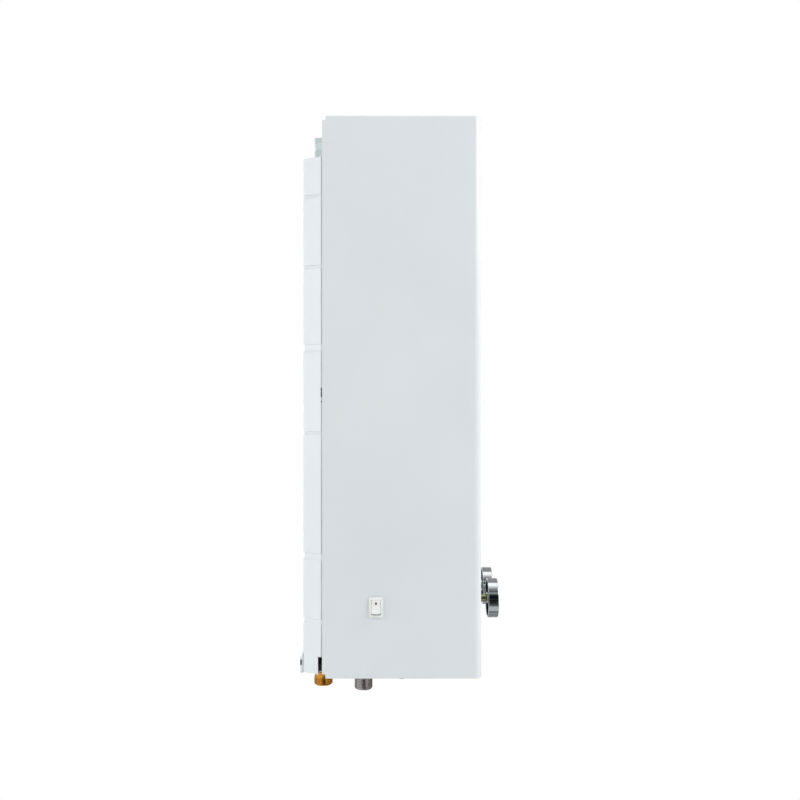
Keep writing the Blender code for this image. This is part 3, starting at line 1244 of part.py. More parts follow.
def linkage():
    """The diaphragm, the rod it pushes, the return spring, and the switch that the rod's collar works.

    The lever's paddle above its pivot balances the arm below, and meets the switch when the rod is out.
    """
    rod_hole = around(ROD_RADIUS + FIT)
    profile = [
        (DIAPHRAGM_RADIUS, COVER_CUP_LONG),
        (DIAPHRAGM_RADIUS, 0),
        (rod_hole, 0),
        (rod_hole, CHAMBER_WALL),
        (CHAMBER_RADIUS, CHAMBER_WALL),
        (CHAMBER_RADIUS, COVER_CUP_LONG),
    ]
    axis = (1, 0, 0)
    place = (CUP_FACE, -ROD_SETBACK, KNOB_Z)
    turned("diaphragm_cover", profile, place, axis, "brass", KNOB_SIDES // 2, closed=True)
    profile = [(0, DIAPHRAGM_THICK), (DIAPHRAGM_RADIUS, DIAPHRAGM_THICK), (DIAPHRAGM_RADIUS, 0), (0, 0)]
    place = (DIAPHRAGM_X - DIAPHRAGM_THICK, -ROD_SETBACK, KNOB_Z)
    turned("diaphragm", profile, place, axis, "black_rubber", KNOB_SIDES // 2)

    plate_end = DIAPHRAGM_X - DIAPHRAGM_THICK - FIT
    tip = GAS_VALVE_FACE - DISC_INSET - DISC_THICK
    profile = [
        (0, plate_end - tip),
        (ROD_PLATE_RADIUS, plate_end - tip),
        (ROD_PLATE_RADIUS, plate_end - ROD_PLATE_THICK - tip),
        (ROD_RADIUS, plate_end - ROD_PLATE_THICK - tip),
        (ROD_RADIUS, COLLAR_FACE + COLLAR_THICK - tip),
        (COLLAR_RADIUS, COLLAR_FACE + COLLAR_THICK - tip),
        (COLLAR_RADIUS, COLLAR_FACE - tip),
        (ROD_RADIUS, COLLAR_FACE - tip),
        (ROD_RADIUS, DISC_THICK),
        (DISC_RADIUS, DISC_THICK),
        (DISC_RADIUS, 0),
        (0, 0),
    ]
    turned("push_rod", profile, (tip, -ROD_SETBACK, KNOB_Z), axis, "stainless")
    path = []
    for index in range(SPRING_TURNS * SPRING_POINTS + 1):
        angle = math.tau * index / SPRING_POINTS
        share = index / (SPRING_TURNS * SPRING_POINTS)
        x = COLLAR_FACE - FIT - SPRING_WIRE - (SPRING_LONG - 2 * SPRING_WIRE) * share
        y = -ROD_SETBACK + SPRING_RADIUS * math.cos(angle)
        path.append((x, y, KNOB_Z + SPRING_RADIUS * math.sin(angle)))
    coil = tube_mesh("return_spring", path, SPRING_WIRE, 1, True)
    add_piece("return_spring", coil, "spring_steel", smooth=True)

    shape = bmesh.new()
    low = (GAS_VALVE_FACE - CARRIER_REACH, -ROD_SETBACK - CARRIER_HALF_Y, VALVE_TOP + FIT)
    high = (KNOB_X - WATER_VALVE_LEFT + CARRIER_REACH, -ROD_SETBACK + CARRIER_HALF_Y, CARRIER_TOP)
    block(shape, low, high)
    carrier = add_piece("switch_carrier", mesh_of(shape, "switch_carrier"), "galvanised")
    pivot_x = COLLAR_FACE - FIT - LEVER_SHEET / 2
    pivot_z = CARRIER_TOP - LEVER_BARREL
    hole = bmesh.new()
    wide = LEVER_WIDE / 2 + CARRIER_SLOT_SIDE
    low = (pivot_x - CARRIER_SLOT, -ROD_SETBACK - wide, VALVE_TOP - OVERRUN)
    block(hole, low, (pivot_x + CARRIER_SLOT, -ROD_SETBACK + wide, CARRIER_TOP + OVERRUN))
    boolean(carrier, add_cutter("carrier_slot", mesh_of(hole, "carrier_slot")))
    shape = bmesh.new()
    switch_x = pivot_x + LEVER_SHEET / 2 + PADDLE_GAP
    low = (switch_x, -ROD_SETBACK - MICROSWITCH_WIDE / 2, CARRIER_TOP + FIT)
    switch_top = CARRIER_TOP + FIT + MICROSWITCH_TALL
    high = (switch_x + MICROSWITCH_LONG, -ROD_SETBACK + MICROSWITCH_WIDE / 2, switch_top)
    rounded_block(shape, low, high, 1, LEVER_BARREL, 2)
    add_piece("microswitch", mesh_of(shape, "microswitch"), "black_plastic")
    shape = bmesh.new()
    half = LEVER_WIDE / 2
    barrel(shape, (0, -half, 0), (0, half, 0), LEVER_BARREL, SMALL_SIDES)
    lever = add_piece("microswitch_lever", mesh_of(shape, "microswitch_lever"), "spring_steel", smooth=True)
    lever.location = (pivot_x, -ROD_SETBACK, pivot_z)
    arm_long = pivot_z - KNOB_Z - COLLAR_RADIUS + LEVER_OVERLAP
    neck = CARRIER_TOP + FIT - pivot_z
    paddle_top = math.sqrt((arm_long ** 2 - neck ** 2) * LEVER_WIDE / PADDLE_WIDE + neck ** 2)
    arm = bmesh.new()
    block(arm, (-LEVER_SHEET / 2, -half, -arm_long), (LEVER_SHEET / 2, half, neck + FIT))
    paddle = bmesh.new()
    block(paddle, (-LEVER_SHEET / 2, -PADDLE_WIDE / 2, neck), (LEVER_SHEET / 2, PADDLE_WIDE / 2, paddle_top))
    for name, joined in (("lever_arm", arm), ("lever_paddle", paddle)):
        tool = add_cutter(name, mesh_of(joined, name))
        tool.location = lever.location
        boolean(lever, tool, "UNION")


def exchanger():
    """The copper shell, its fins, the tube through them, the coil round the shell and the hood above."""
    shape = bmesh.new()
    verts = block(shape, (-STACK_HALF, STACK_FRONT, SHELL_LOW), (STACK_HALF, -STACK_BACK, SHELL_TOP))
    upright = edges_along(verts, 2)
    ends = [face for face in shape.faces if abs(face.normal.z) > 0.9]
    bmesh.ops.delete(shape, geom=ends, context="FACES_ONLY")
    bmesh.ops.bevel(shape, geom=upright, offset=STACK_CORNER, segments=4, profile=0.5, affect="EDGES")
    shell = add_piece("exchanger_shell", mesh_of(shape, "exchanger_shell"), "copper", smooth=True)
    solidify(shell, STACK_SHEET, -1)
    holes = bmesh.new()
    hole = around(FIN_TUBE_RADIUS + FIT, FIN_TUBE_SIDES)
    wide = STACK_HALF + OVERRUN
    for y in (FIN_BACK, STACK_MID, FIN_FRONT):
        barrel(holes, (-wide, y, FIN_Z), (wide, y, FIN_Z), hole, FIN_TUBE_SIDES)
    tool = add_cutter("fin_tube_holes", mesh_of(holes, "fin_tube_holes"))
    boolean(shell, tool)

    shape = bmesh.new()
    span = STACK_HALF * FIN_SPAN_SHARE
    inner_front = STACK_FRONT + STACK_SHEET + FIT
    inner_back = -STACK_BACK - STACK_SHEET - FIT
    for index in range(FIN_COUNT):
        x = -span + 2 * span * index / (FIN_COUNT - 1)
        low = (x - FIN_THICK / 2, inner_front, FIN_Z - FIN_TALL / 2)
        block(shape, low, (x + FIN_THICK / 2, inner_back, FIN_Z + FIN_TALL / 2))
    fins = add_piece("exchanger_fins", mesh_of(shape, "exchanger_fins"), "copper")
    ties = bmesh.new()
    for y in ((FIN_BACK + STACK_MID) / 2, (FIN_FRONT + STACK_MID) / 2):
        low = (-span, y - FIN_TIE / 2, FIN_Z - FIN_TIE / 2)
        block(ties, low, (span, y + FIN_TIE / 2, FIN_Z + FIN_TIE / 2))
    boolean(fins, add_cutter("fin_ties", mesh_of(ties, "fin_ties")), "UNION")
    boolean(fins, tool)

    corners = [
        (RISER_X, FIN_BACK, FIN_Z - STUB),
        (RISER_X, FIN_BACK, FIN_Z),
        (-RISER_X - TUBE_BEND, FIN_BACK, FIN_Z),
        (-RISER_X - TUBE_BEND, STACK_MID, FIN_Z),
        (RISER_X + TUBE_BEND, STACK_MID, FIN_Z),
        (RISER_X + TUBE_BEND, FIN_FRONT, FIN_Z),
        (-HOT_RISER_X, FIN_FRONT, FIN_Z),
        (-HOT_RISER_X, FIN_FRONT, FIN_Z - STUB),
    ]
    pipe("exchanger_tubes", route(corners, TUBE_BEND), FIN_TUBE_RADIUS, "copper")

    corners = [(COIL_X, STACK_MID, COIL_LOW - STUB), (COIL_X, STACK_MID, COIL_LOW)]
    round_shell = ((COIL_X, COIL_BACK), (-COIL_X, COIL_BACK), (-COIL_X, COIL_FRONT), (COIL_X, COIL_FRONT))
    for index in range(4 * COIL_TURNS):
        x, y = round_shell[index % 4]
        corners.append((x, y, COIL_LOW + COIL_PITCH * (index + 1) / 4))
    last = COIL_LOW + COIL_PITCH * (4 * COIL_TURNS + 1) / 4
    corners.append((RISER_X, FIN_BACK, last))
    corners.append((RISER_X, FIN_BACK, FIN_Z - STUB - FIT))
    pipe("jacket_coil", route(corners, PIPE_BEND), COIL_RADIUS, "copper")

    shape = bmesh.new()
    low_z = SHELL_TOP + FIT
    high_z = COVER_TOP - COVER_SHEET - HOOD_TOP_GAP
    mouth = COVER_FRONT + COVER_SHEET + HOOD_MOUTH_GAP
    chest = low_z + (high_z - low_z) * HOOD_CHEST_SHARE
    outline = [(-STACK_BACK, low_z), (-STACK_BACK, high_z)]
    outline += [(mouth, high_z), (mouth, chest), (STACK_FRONT, low_z)]
    sides = []
    for x in (-STACK_HALF, STACK_HALF):
        sides.append([shape.verts.new((x, y, z)) for y, z in outline])
    left, right = sides
    shape.faces.new(left)
    shape.faces.new(reversed(right))
    count = len(outline)
    for k in range(count):
        following = (k + 1) % count
        is_mouth = k == outline.index((mouth, high_z))
        is_throat = k == count - 1
        if not is_mouth and not is_throat:
            shape.faces.new((left[k], right[k], right[following], left[following]))
    bmesh.ops.recalc_face_normals(shape, faces=shape.faces)
    hood = add_piece("exhaust_hood", mesh_of(shape, "exhaust_hood"), "stainless")
    solidify(hood, HOOD_SHEET, -1)


def burner():
    """The burner's frame, its bars, the gas manifold with its nozzles, and the gas pipe."""
    top = SHELL_LOW - FIT
    shape = bmesh.new()
    block(shape, (-BURNER_HALF, STACK_FRONT, BURNER_LOW), (BURNER_HALF, -STACK_BACK, top))
    ends = [face for face in shape.faces if abs(face.normal.z) > 0.9]
    bmesh.ops.delete(shape, geom=ends, context="FACES_ONLY")
    frame = add_piece("burner_frame", mesh_of(shape, "burner_frame"), "stainless")
    solidify(frame, BURNER_SHEET, -1)
    places = [(index - (BAR_COUNT - 1) / 2) * BAR_PITCH for index in range(BAR_COUNT)]
    holes = bmesh.new()
    front, behind = STACK_FRONT - OVERRUN, STACK_FRONT + BURNER_SHEET + OVERRUN
    for x in places:
        barrel(holes, (x, front, JET_Z), (x, behind, JET_Z), JET_PORT_RADIUS, SMALL_SIDES)
    electrode_z = top - ELECTRODE_DROP
    for x in ELECTRODE_X:
        clear = around(CERAMIC_RADIUS + FIT, SMALL_SIDES)
        barrel(holes, (x, front, electrode_z), (x, behind, electrode_z), clear, SMALL_SIDES)
    boolean(frame, add_cutter("burner_holes", mesh_of(holes, "burner_holes")))

    bar_front = STACK_FRONT + BURNER_SHEET + FIT
    bar_back = -STACK_BACK - BURNER_SHEET - FIT
    bulb = BAR_BULB_HALF
    half = [
        (bulb / 2, 0),
        (bulb, bulb / 2),
        (bulb, bulb * 3 / 2),
        (bulb / 2, 2 * bulb),
        (BAR_NECK_HALF, 3 * bulb),
        (BAR_NECK_HALF, BAR_TALL - 2 * bulb),
        (BAR_HEAD_HALF, BAR_TALL - bulb),
        (BAR_HEAD_HALF, BAR_TALL),
    ]
    outline = half + [(-x, z) for x, z in reversed(half)]
    shape = bmesh.new()
    mesh = prism("burner_bar", [outline], bar_back - bar_front)
    upright = Matrix.Rotation(math.pi / 2, 4, "X")
    for x in places:
        place = Matrix.Translation((x, (bar_front + bar_back) / 2, BARS_LOW)) @ upright
        copy = mesh.copy()
        copy.transform(place)
        shape.from_mesh(copy)
    bars = add_piece("burner_bars", mesh_of(shape, "burner_bars"), "stainless")
    rails = bmesh.new()
    reach = places[-1] + BAR_NECK_HALF / 2
    for y in (bar_front + BAR_RAIL, bar_back - BAR_RAIL):
        low = (-reach, y - BAR_RAIL / 2, BARS_LOW + BAR_TALL / 2)
        block(rails, low, (reach, y + BAR_RAIL / 2, BARS_LOW + BAR_TALL / 2 + BAR_RAIL))
    boolean(bars, add_cutter("bar_rails", mesh_of(rails, "bar_rails")), "UNION")

    shape = bmesh.new()
    low = (-BURNER_HALF, MANIFOLD_BACK - MANIFOLD_DEEP, JET_Z - MANIFOLD_TALL / 2)
    block(shape, low, (BURNER_HALF, MANIFOLD_BACK, JET_Z + MANIFOLD_TALL / 2))
    manifold = add_piece("gas_manifold", mesh_of(shape, "gas_manifold"), "cast_aluminium")
    lugs = bmesh.new()
    for side in (-1, 1):
        inner, outer = side * (BURNER_HALF - LUG_WIDE), side * BURNER_HALF
        low = (min(inner, outer), MANIFOLD_BACK - MANIFOLD_DEEP / 2, JET_Z - MANIFOLD_TALL / 2)
        block(lugs, low, (max(inner, outer), STACK_FRONT - FIT, JET_Z + MANIFOLD_TALL / 2))
    boolean(manifold, add_cutter("manifold_lugs", mesh_of(lugs, "manifold_lugs")), "UNION")
    jets = bmesh.new()
    for x in places:
        start, end = (x, MANIFOLD_BACK - OVERRUN, JET_Z), (x, bar_front - FIT, JET_Z)
        barrel(jets, start, end, NOZZLE_RADIUS, SMALL_SIDES, NOZZLE_TIP)
    boolean(manifold, add_cutter("gas_jets", mesh_of(jets, "gas_jets")), "UNION")
    low = JET_Z - MANIFOLD_TALL / 2 - FIT
    middle = MANIFOLD_BACK - MANIFOLD_DEEP / 2
    level = (VALVE_TOP + low) / 2
    x = -KNOB_X
    corners = [(x, -OUTLET_SETBACK, VALVE_TOP + FIT), (x, -OUTLET_SETBACK, level)]
    corners += [(x, middle, level), (x, middle, low)]
    pipe("gas_pipe", route(corners, PIPE_BEND), GAS_PIPE_RADIUS, "cast_aluminium")

    for name, x in zip(ELECTRODE_NAMES, ELECTRODE_X):
        shape = bmesh.new()
        start = STACK_FRONT - CERAMIC_OUT
        end = (x, start + CERAMIC_LONG, electrode_z)
        barrel(shape, (x, start, electrode_z), end, CERAMIC_RADIUS, SMALL_SIDES)
        electrode = add_piece(name, mesh_of(shape, name), "ceramic", smooth=True)
        shape = bmesh.new()
        start += CERAMIC_LONG
        inner, end = (x, start - OVERRUN, electrode_z), (x, start + PROBE_LONG, electrode_z)
        barrel(shape, inner, end, PROBE_RADIUS, SMALL_SIDES)
        boolean(electrode, add_cutter(name + "_probe", mesh_of(shape, name)), "UNION")


def hat_bracket(name, z, depth):
    """A hat-shaped bracket, centred at a height, that holds inner pieces off the back plate."""
    rear = -CHASSIS_SHEET - FIT - BRACKET_SHEET / 2
    front = -depth + FIT + BRACKET_SHEET / 2
    half, foot = BRACKET_HALF, BRACKET_HALF + BRACKET_FOOT
    low = z - BRACKET_TALL / 2
    chain = [(-foot, rear), (-half, rear), (-half, front), (half, front), (half, rear), (foot, rear)]
    chain = [(x, y, low) for x, y in chain]
    folded_sheet(name, chain, (0, 0, BRACKET_TALL), BRACKET_SHEET, "galvanised")


def pipes_and_brackets():
    """The water pipes and the brackets that carry them, the valves and the exchanger."""
    level = (VALVE_TOP + BURNER_LOW) / 2
    corners = [
        (KNOB_X, -OUTLET_SETBACK, VALVE_TOP + FIT),
        (KNOB_X, -OUTLET_SETBACK, level),
        (COIL_X, STACK_MID, level),
        (COIL_X, STACK_MID, COIL_LOW - STUB - FIT),
    ]
    pipe("cold_pipe", route(corners, PIPE_BEND), COIL_RADIUS, "copper")
    run = (BURNER_LOW + VALVE_TOP) / 2 + BRACKET_TALL / 2
    corners = [
        (-HOT_RISER_X, FIN_FRONT, FIN_Z - STUB - FIT),
        (-HOT_RISER_X, FIN_FRONT, run),
        (-HOT_RISER_X, -HOT_SETBACK, run),
        (HOT_X, -HOT_SETBACK, run),
        (HOT_X, -HOT_SETBACK, COVER_BOTTOM - HOT_TOP_DROP + FIT),
    ]
    pipe("hot_pipe", route(corners, PIPE_BEND), COIL_RADIUS, "copper")
    hat_bracket("valve_bracket", between_grooves(0), VALVE_BACK)
    hat_bracket("exchanger_bracket", between_grooves(3), STACK_BACK)
    profile = [(0, THERMOSTAT_LONG), (THERMOSTAT_RADIUS, THERMOSTAT_LONG), (THERMOSTAT_RADIUS, 0), (0, 0)]
    place = (0, STACK_FRONT - FIT, FIN_Z)
    turned("overheat_thermostat", profile, place, (0, -1, 0), "black_plastic")


def igniter():
    """The igniter module on the back plate."""
    shape = bmesh.new()
    low_z = COVER_BOTTOM + IGNITER_LOW_RISE
    low = (IGNITER_X - IGNITER_WIDE / 2, IGNITER_FRONT, low_z)
    high = (IGNITER_X + IGNITER_WIDE / 2, -CHASSIS_SHEET - FIT, low_z + IGNITER_TALL)
    rounded_block(shape, low, high, 1, IGNITER_ROUND, 2)
    add_piece("igniter_module", mesh_of(shape, "igniter_module"), "black_plastic")


def battery():
    """The battery box on the bottom plate, its two cells and their link, and the hinged door below."""
    half = BATTERY_WIDE / 2
    low = (BATTERY_X - half, -BATTERY_BACK - BATTERY_DEEP, PLATE_TOP + FIT)
    shape = bmesh.new()
    block(shape, low, (BATTERY_X + half, -BATTERY_BACK, BATTERY_TOP))
    under = [face for face in shape.faces if face.normal.z < -0.9]
    bmesh.ops.delete(shape, geom=under, context="FACES")
    box = add_piece("battery_box", mesh_of(shape, "battery_box"), "black_plastic")
    solidify(box, BATTERY_WALL, -1)

    middle = -BATTERY_BACK - BATTERY_DEEP / 2
    cell_z = BATTERY_TOP - BATTERY_WALL - FIT - CELL_RADIUS
    cell_end = BATTERY_X - half + BATTERY_WALL + FIT + LINK_THICK + FIT
    for name, side in (("battery_cell_front", -1), ("battery_cell_rear", 1)):
        shape = bmesh.new()
        y = middle + side * CELL_SPREAD
        barrel(shape, (cell_end, y, cell_z), (cell_end + CELL_LONG, y, cell_z), CELL_RADIUS, ROUND_SIDES)
        cell = add_piece(name, mesh_of(shape, name), "cell_wrap", smooth=True)
        shape = bmesh.new()
        start = (cell_end + CELL_LONG - OVERRUN, y, cell_z)
        barrel(shape, start, (cell_end + CELL_LONG + CELL_TIP, y, cell_z), CELL_TIP_RADIUS, SMALL_SIDES)
        boolean(cell, add_cutter(name + "_tip", mesh_of(shape, name)), "UNION")
    shape = bmesh.new()
    reach = CELL_SPREAD + LINK_TALL / 2
    low = (cell_end - FIT - LINK_THICK, middle - reach, cell_z - LINK_TALL / 2)
    block(shape, low, (cell_end - FIT, middle + reach, cell_z + LINK_TALL / 2))
    add_piece("battery_link", mesh_of(shape, "battery_link"), "spring_steel")

    low_x, high_x, front, rear = battery_opening()
    low_x, high_x = low_x + DOOR_GAP, high_x - DOOR_GAP
    pivot_y = rear - DOOR_GAP - DOOR_BARREL
    pivot_z = PLATE_TOP - DOOR_THICK / 2
    shape = bmesh.new()
    front_edge = front + DOOR_GAP - pivot_y
    block(shape, (low_x, front_edge, -DOOR_THICK / 2), (high_x, 0, DOOR_THICK / 2))
    door = add_piece("battery_door", mesh_of(shape, "battery_door"), "white_plastic")
    door.location = (0, pivot_y, pivot_z)
    hinge = bmesh.new()
    barrel(hinge, (low_x, 0, 0), (high_x, 0, 0), DOOR_BARREL, SMALL_SIDES)
    hinge = add_cutter("door_barrel", mesh_of(hinge, "door_barrel"))
    hinge.location = door.location
    boolean(door, hinge, "UNION")


def lead(name, path):
    """An insulated lead along a path, held by its ends."""
    wire = tube_mesh(name, route(path, LEAD_BEND), LEAD_RADIUS, 0, True)
    add_piece(name, wire, "black_rubber", smooth=True)


def leads():
    """The leads between the igniter module and what it serves."""
    face = IGNITER_FRONT - FIT
    middle = COVER_BOTTOM + IGNITER_LOW_RISE + IGNITER_TALL / 2
    electrode_z = SHELL_LOW - FIT - ELECTRODE_DROP
    ceramic = STACK_FRONT - CERAMIC_OUT - FIT
    out = (ceramic + COVER_FRONT + COVER_SHEET) / 2
    for index, (name, x) in enumerate(zip(("flame_lead", "ignition_lead"), ELECTRODE_X)):
        start_x = IGNITER_X + IGNITER_WIDE * LEAD_START_SHARES[index]
        level = middle + IGNITER_TALL * LEAD_LEVEL_SHARES[index]
        lead(name, [(start_x, face, level), (start_x, out, level), (x, out, level), (x, out, electrode_z),
                    (x, ceramic, electrode_z)])
    y = COVER_REAR - ROCKER_FORWARD
    z = COVER_BOTTOM + ROCKER_RISE + BLADE_SPREAD
    blade_end = -HALF + HOUSING_DEEP + BLADE_LONG + FIT
    x = (blade_end + IGNITER_X) / 2
    lead("switch_lead", [(blade_end, y, z), (x, y, z), (x, face, z)])


front_cover()
back_plate()
bottom_plate()
wall_hanger()
lower_wall_tabs()
side_clips()
window()
knob_and_spindle("gas_knob", -KNOB_X)
knob_and_spindle("water_knob", KNOB_X)
rocker_switch()
fittings()
gas_valve()
water_valve()
linkage()
exchanger()
burner()
pipes_and_brackets()
igniter()
battery()
leads()
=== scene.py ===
"""Looks of a wall-hung tankless water heater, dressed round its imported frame.

Metres, +Z up, the front faces -Y and the wall lies at Y = 0. Each sub-assembly is a class with its sizes
as fields and methods that build and dress its pieces. Each finish is a frozen dataclass that builds one
procedural material. A piece takes its slot from the record and its finish from that slot, unless it names
its own.
"""

import json
import logging
import math
from dataclasses import dataclass
from enum import Enum
from functools import partial
from typing import Callable, ClassVar, Sequence

import bmesh
import bpy
from mathutils import Matrix, Vector


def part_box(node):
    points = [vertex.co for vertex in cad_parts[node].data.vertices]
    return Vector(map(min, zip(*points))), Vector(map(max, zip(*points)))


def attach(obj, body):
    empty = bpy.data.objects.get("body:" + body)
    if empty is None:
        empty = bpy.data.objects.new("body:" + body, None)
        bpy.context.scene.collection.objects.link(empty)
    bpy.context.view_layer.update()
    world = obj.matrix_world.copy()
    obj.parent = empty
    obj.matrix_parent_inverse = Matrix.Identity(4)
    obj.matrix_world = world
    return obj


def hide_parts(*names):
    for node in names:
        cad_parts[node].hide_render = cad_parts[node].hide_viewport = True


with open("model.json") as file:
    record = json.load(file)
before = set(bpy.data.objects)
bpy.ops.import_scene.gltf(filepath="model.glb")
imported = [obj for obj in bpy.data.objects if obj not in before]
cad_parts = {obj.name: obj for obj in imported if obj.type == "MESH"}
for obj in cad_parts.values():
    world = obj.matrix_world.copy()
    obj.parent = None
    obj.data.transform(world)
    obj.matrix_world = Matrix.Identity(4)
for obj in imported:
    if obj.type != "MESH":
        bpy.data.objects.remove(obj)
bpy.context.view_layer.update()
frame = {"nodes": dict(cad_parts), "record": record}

Pair = tuple[float, float]
Pairs = tuple[Pair, ...]
Triple = tuple[float, float, float]
Four = tuple[float, float, float, float]
Point = Sequence[float]
Shape = bmesh.types.BMesh
Socket = bpy.types.NodeSocket
Tree = bpy.types.NodeTree
Values = ClassVar[dict[str, float]]

LOG = logging.getLogger("heater")
ROOT = "heater"
SLOTS = {entry["node"]: entry["material_slot"] for entry in frame["record"]["subparts"]}
WHITE = "FFFFFF"
MIDDLE = Vector((0.0, -0.1, -0.3))  # what the lamps face
X, Y, Z = range(3)  # axes
MM_PER_METRE = 1000
TINY = 1e-6  # lengths below this count as none
HAIR = 0.0003  # the smallest step, or gap between two sheets
OVERRUN = 0.002  # how far a cutter passes a face
FINE, ROUND, COARSE = 96, 48, 32  # sides of a large, a middling and a small round piece
FACING = 0.9  # the share of a direction along an axis that counts as along it
ARC_REACH = 0.49  # the share of a stretch that the arc at one of its ends may take up
STRAIGHT = math.radians(89)  # half an angle from which a corner needs no arc
FULL_ROUND, SLOT_ROUND = 0.999, 0.98  # shares of half a width that a round end's radius may have
SMOOTH_ANGLE = math.radians(32)  # edges sharper than this stay sharp


class Side(Enum):
    """The two sides of the heater, as the sign of X."""

    LEFT = -1
    RIGHT = 1

    @property
    def word(self) -> str:
        """The side's name in lower case."""
        return self.name.lower()

    def span(self, inner: float, outer: float) -> list[float]:
        """The X values at two distances from the middle on this side, the lower value first."""
        return sorted((self.value * inner, self.value * outer))


class Ray(Enum):
    """The kinds of ray that see the plain background at full white."""

    CAMERA = "Is Camera Ray"
    GLOSSY = "Is Glossy Ray"
    TRANSMISSION = "Is Transmission Ray"


def linear(code: str) -> Four:
    """Turn an sRGB hex colour into linear light.

    Args:
        code: six hex digits.

    Returns:
        Red, green, blue and an alpha of 1.
    """
    shares = [int(code[k:k + 2], 16) / 255 for k in (0, 2, 4)]
    red, green, blue = (s / 12.92 if s <= 0.04045 else ((s + 0.055) / 1.055) ** 2.4 for s in shares)
    return red, green, blue, 1.0


def per_metre(millimetres: float) -> float:
    """The texture scale at which one repeat is this many millimetres long."""
    return MM_PER_METRE / millimetres


def add(tree: Tree, kind: str, inputs: dict | None = None, **settings: object) -> bpy.types.Node:
    """Add a shader node with its settings, values and links.

    Args:
        tree: the node tree that takes the node.
        kind: the node's type, without its common prefix.
        inputs: for each input, by name or number, a value or the output that feeds it.
        settings: the node's own properties.

    Returns:
        The new node.
    """
    node = tree.nodes.new("ShaderNode" + kind)
    for key, value in settings.items():
        setattr(node, key, value)
    for key, value in (inputs or {}).items():
        if isinstance(value, Socket):
            tree.links.new(value, node.inputs[key])
        else:
            node.inputs[key].default_value = value
    return node


def empty_material(name: str) -> bpy.types.Material:
    """Make a material with an empty node tree.

    Args:
        name: its name.

    Returns:
        The material.
    """
    made = bpy.data.materials.new(name)
    made.use_nodes = True
    made.node_tree.nodes.clear()
    return made


@dataclass(frozen=True)
class Look:
    """A material while it is built: its finish, its node tree and shader, and the place on the piece."""

    finish: "Finish"
    tree: Tree
    shader: bpy.types.Node
    place: Socket

    def noise(self, repeat_mm: float, detail: float, squash: Point = ()) -> Socket:
        """A noise pattern.

        Args:
            repeat_mm: the length of one repeat.
            detail: how many finer layers it has.
            squash: the share of each axis that counts, if not all of it.

        Returns:
            The pattern's share, from 0 to 1.
        """
        place = self.place
        if squash:
            place = add(self.tree, "VectorMath", {0: place, 1: squash}, operation="MULTIPLY").outputs[0]
        inputs = {"Vector": place, "Scale": per_metre(repeat_mm), "Detail": detail}
        return add(self.tree, "TexNoise", inputs).outputs["Fac"]

    def folds(self, reach: float, shut: float, clear: float, most: float) -> Socket:
        """How shut in the surface is, as a share of the darker colour: painted shade in folds and creases.

        Args:
            reach: how near a fold has to be, in metres.
            shut: the open share at which a fold counts in full.
            clear: the open share from which it doesn't count.
            most: the result in a full fold.

        Returns:
            The result, down to 0 where the surface is clear.
        """
        fold = add(self.tree, "AmbientOcclusion", {"Distance": reach}, samples=4)
        return add(self.tree, "MapRange", {
            "Value": fold.outputs["AO"], "From Min": shut, "From Max": clear, "To Min": most, "To Max": 0.0,
        }).outputs["Result"]

    def blend(self, share: Socket, film: Socket) -> Socket:
        """A fifth of a share with a film of painted fold shade added, clamped at 1."""
        inputs = {0: share, 1: 0.2, 2: film}
        return add(self.tree, "Math", inputs, operation="MULTIPLY_ADD", use_clamp=True).outputs[0]

    def wear(self, tone: Socket, sheen: Socket, height: Socket) -> None:
        """Feed the patterns to the shader.

        Args:
            tone: the share of the finish's second colour.
            sheen: what the roughness follows.
            height: the relief.
        """
        tree, finish = self.tree, self.finish
        ends = {6: linear(finish.colour), 7: linear(finish.shade)}
        level = {"To Min": finish.roughness - finish.wander, "To Max": finish.roughness + finish.wander}
        depth, strength = finish.relief
        colour = add(tree, "Mix", {0: tone, **ends}, data_type="RGBA").outputs[2]
        rough = add(tree, "MapRange", {"Value": sheen, **level}).outputs["Result"]
        relief = {"Height": height, "Distance": depth / MM_PER_METRE, "Strength": strength}
        bump = add(tree, "Bump", relief).outputs["Normal"]
        for name, output in (("Base Color", colour), ("Roughness", rough), ("Normal", bump)):
            tree.links.new(output, self.shader.inputs[name])


@dataclass(frozen=True)
class Finish:
    """A finish: two close colours in slow patches over a fine grain.

    The patches and the grain are each a repeat in millimetres and a number of layers. The relief is its real
    depth in millimetres and the strength that shows. The rest of the shader's values are in plain. A real
    grain that a comment calls too fine is drawn coarser than it is, so that a close view shows it.
    """

    name: str
    colour: str
    shade: str
    roughness: float
    patch: Pair = (10.0, 4.0)
    grain: Pair = (1.0, 1.0)
    squash: Point = ()
    wander: float = 0.05
    relief: Pair = (0.01, 0.3)
    plain: Values = {"Metallic": 1.0}

    def material(self) -> bpy.types.Material:
        """The finish's material, built on first use.

        Returns:
            The material.
        """
        found = bpy.data.materials.get(self.name)
        if found:
            return found
        made = empty_material(self.name)
        tree = made.node_tree
        shader = add(tree, "BsdfPrincipled", self.plain)
        add(tree, "OutputMaterial", {"Surface": shader.outputs["BSDF"]})
        self.dress(Look(self, tree, shader, add(tree, "TexCoord").outputs["Object"]))
        return made

    def dress(self, look: Look) -> None:
        """Patches of tone and sheen, and the grain as relief."""
        patch = look.noise(*self.patch)
        look.wear(patch, patch, look.noise(*self.grain, self.squash))


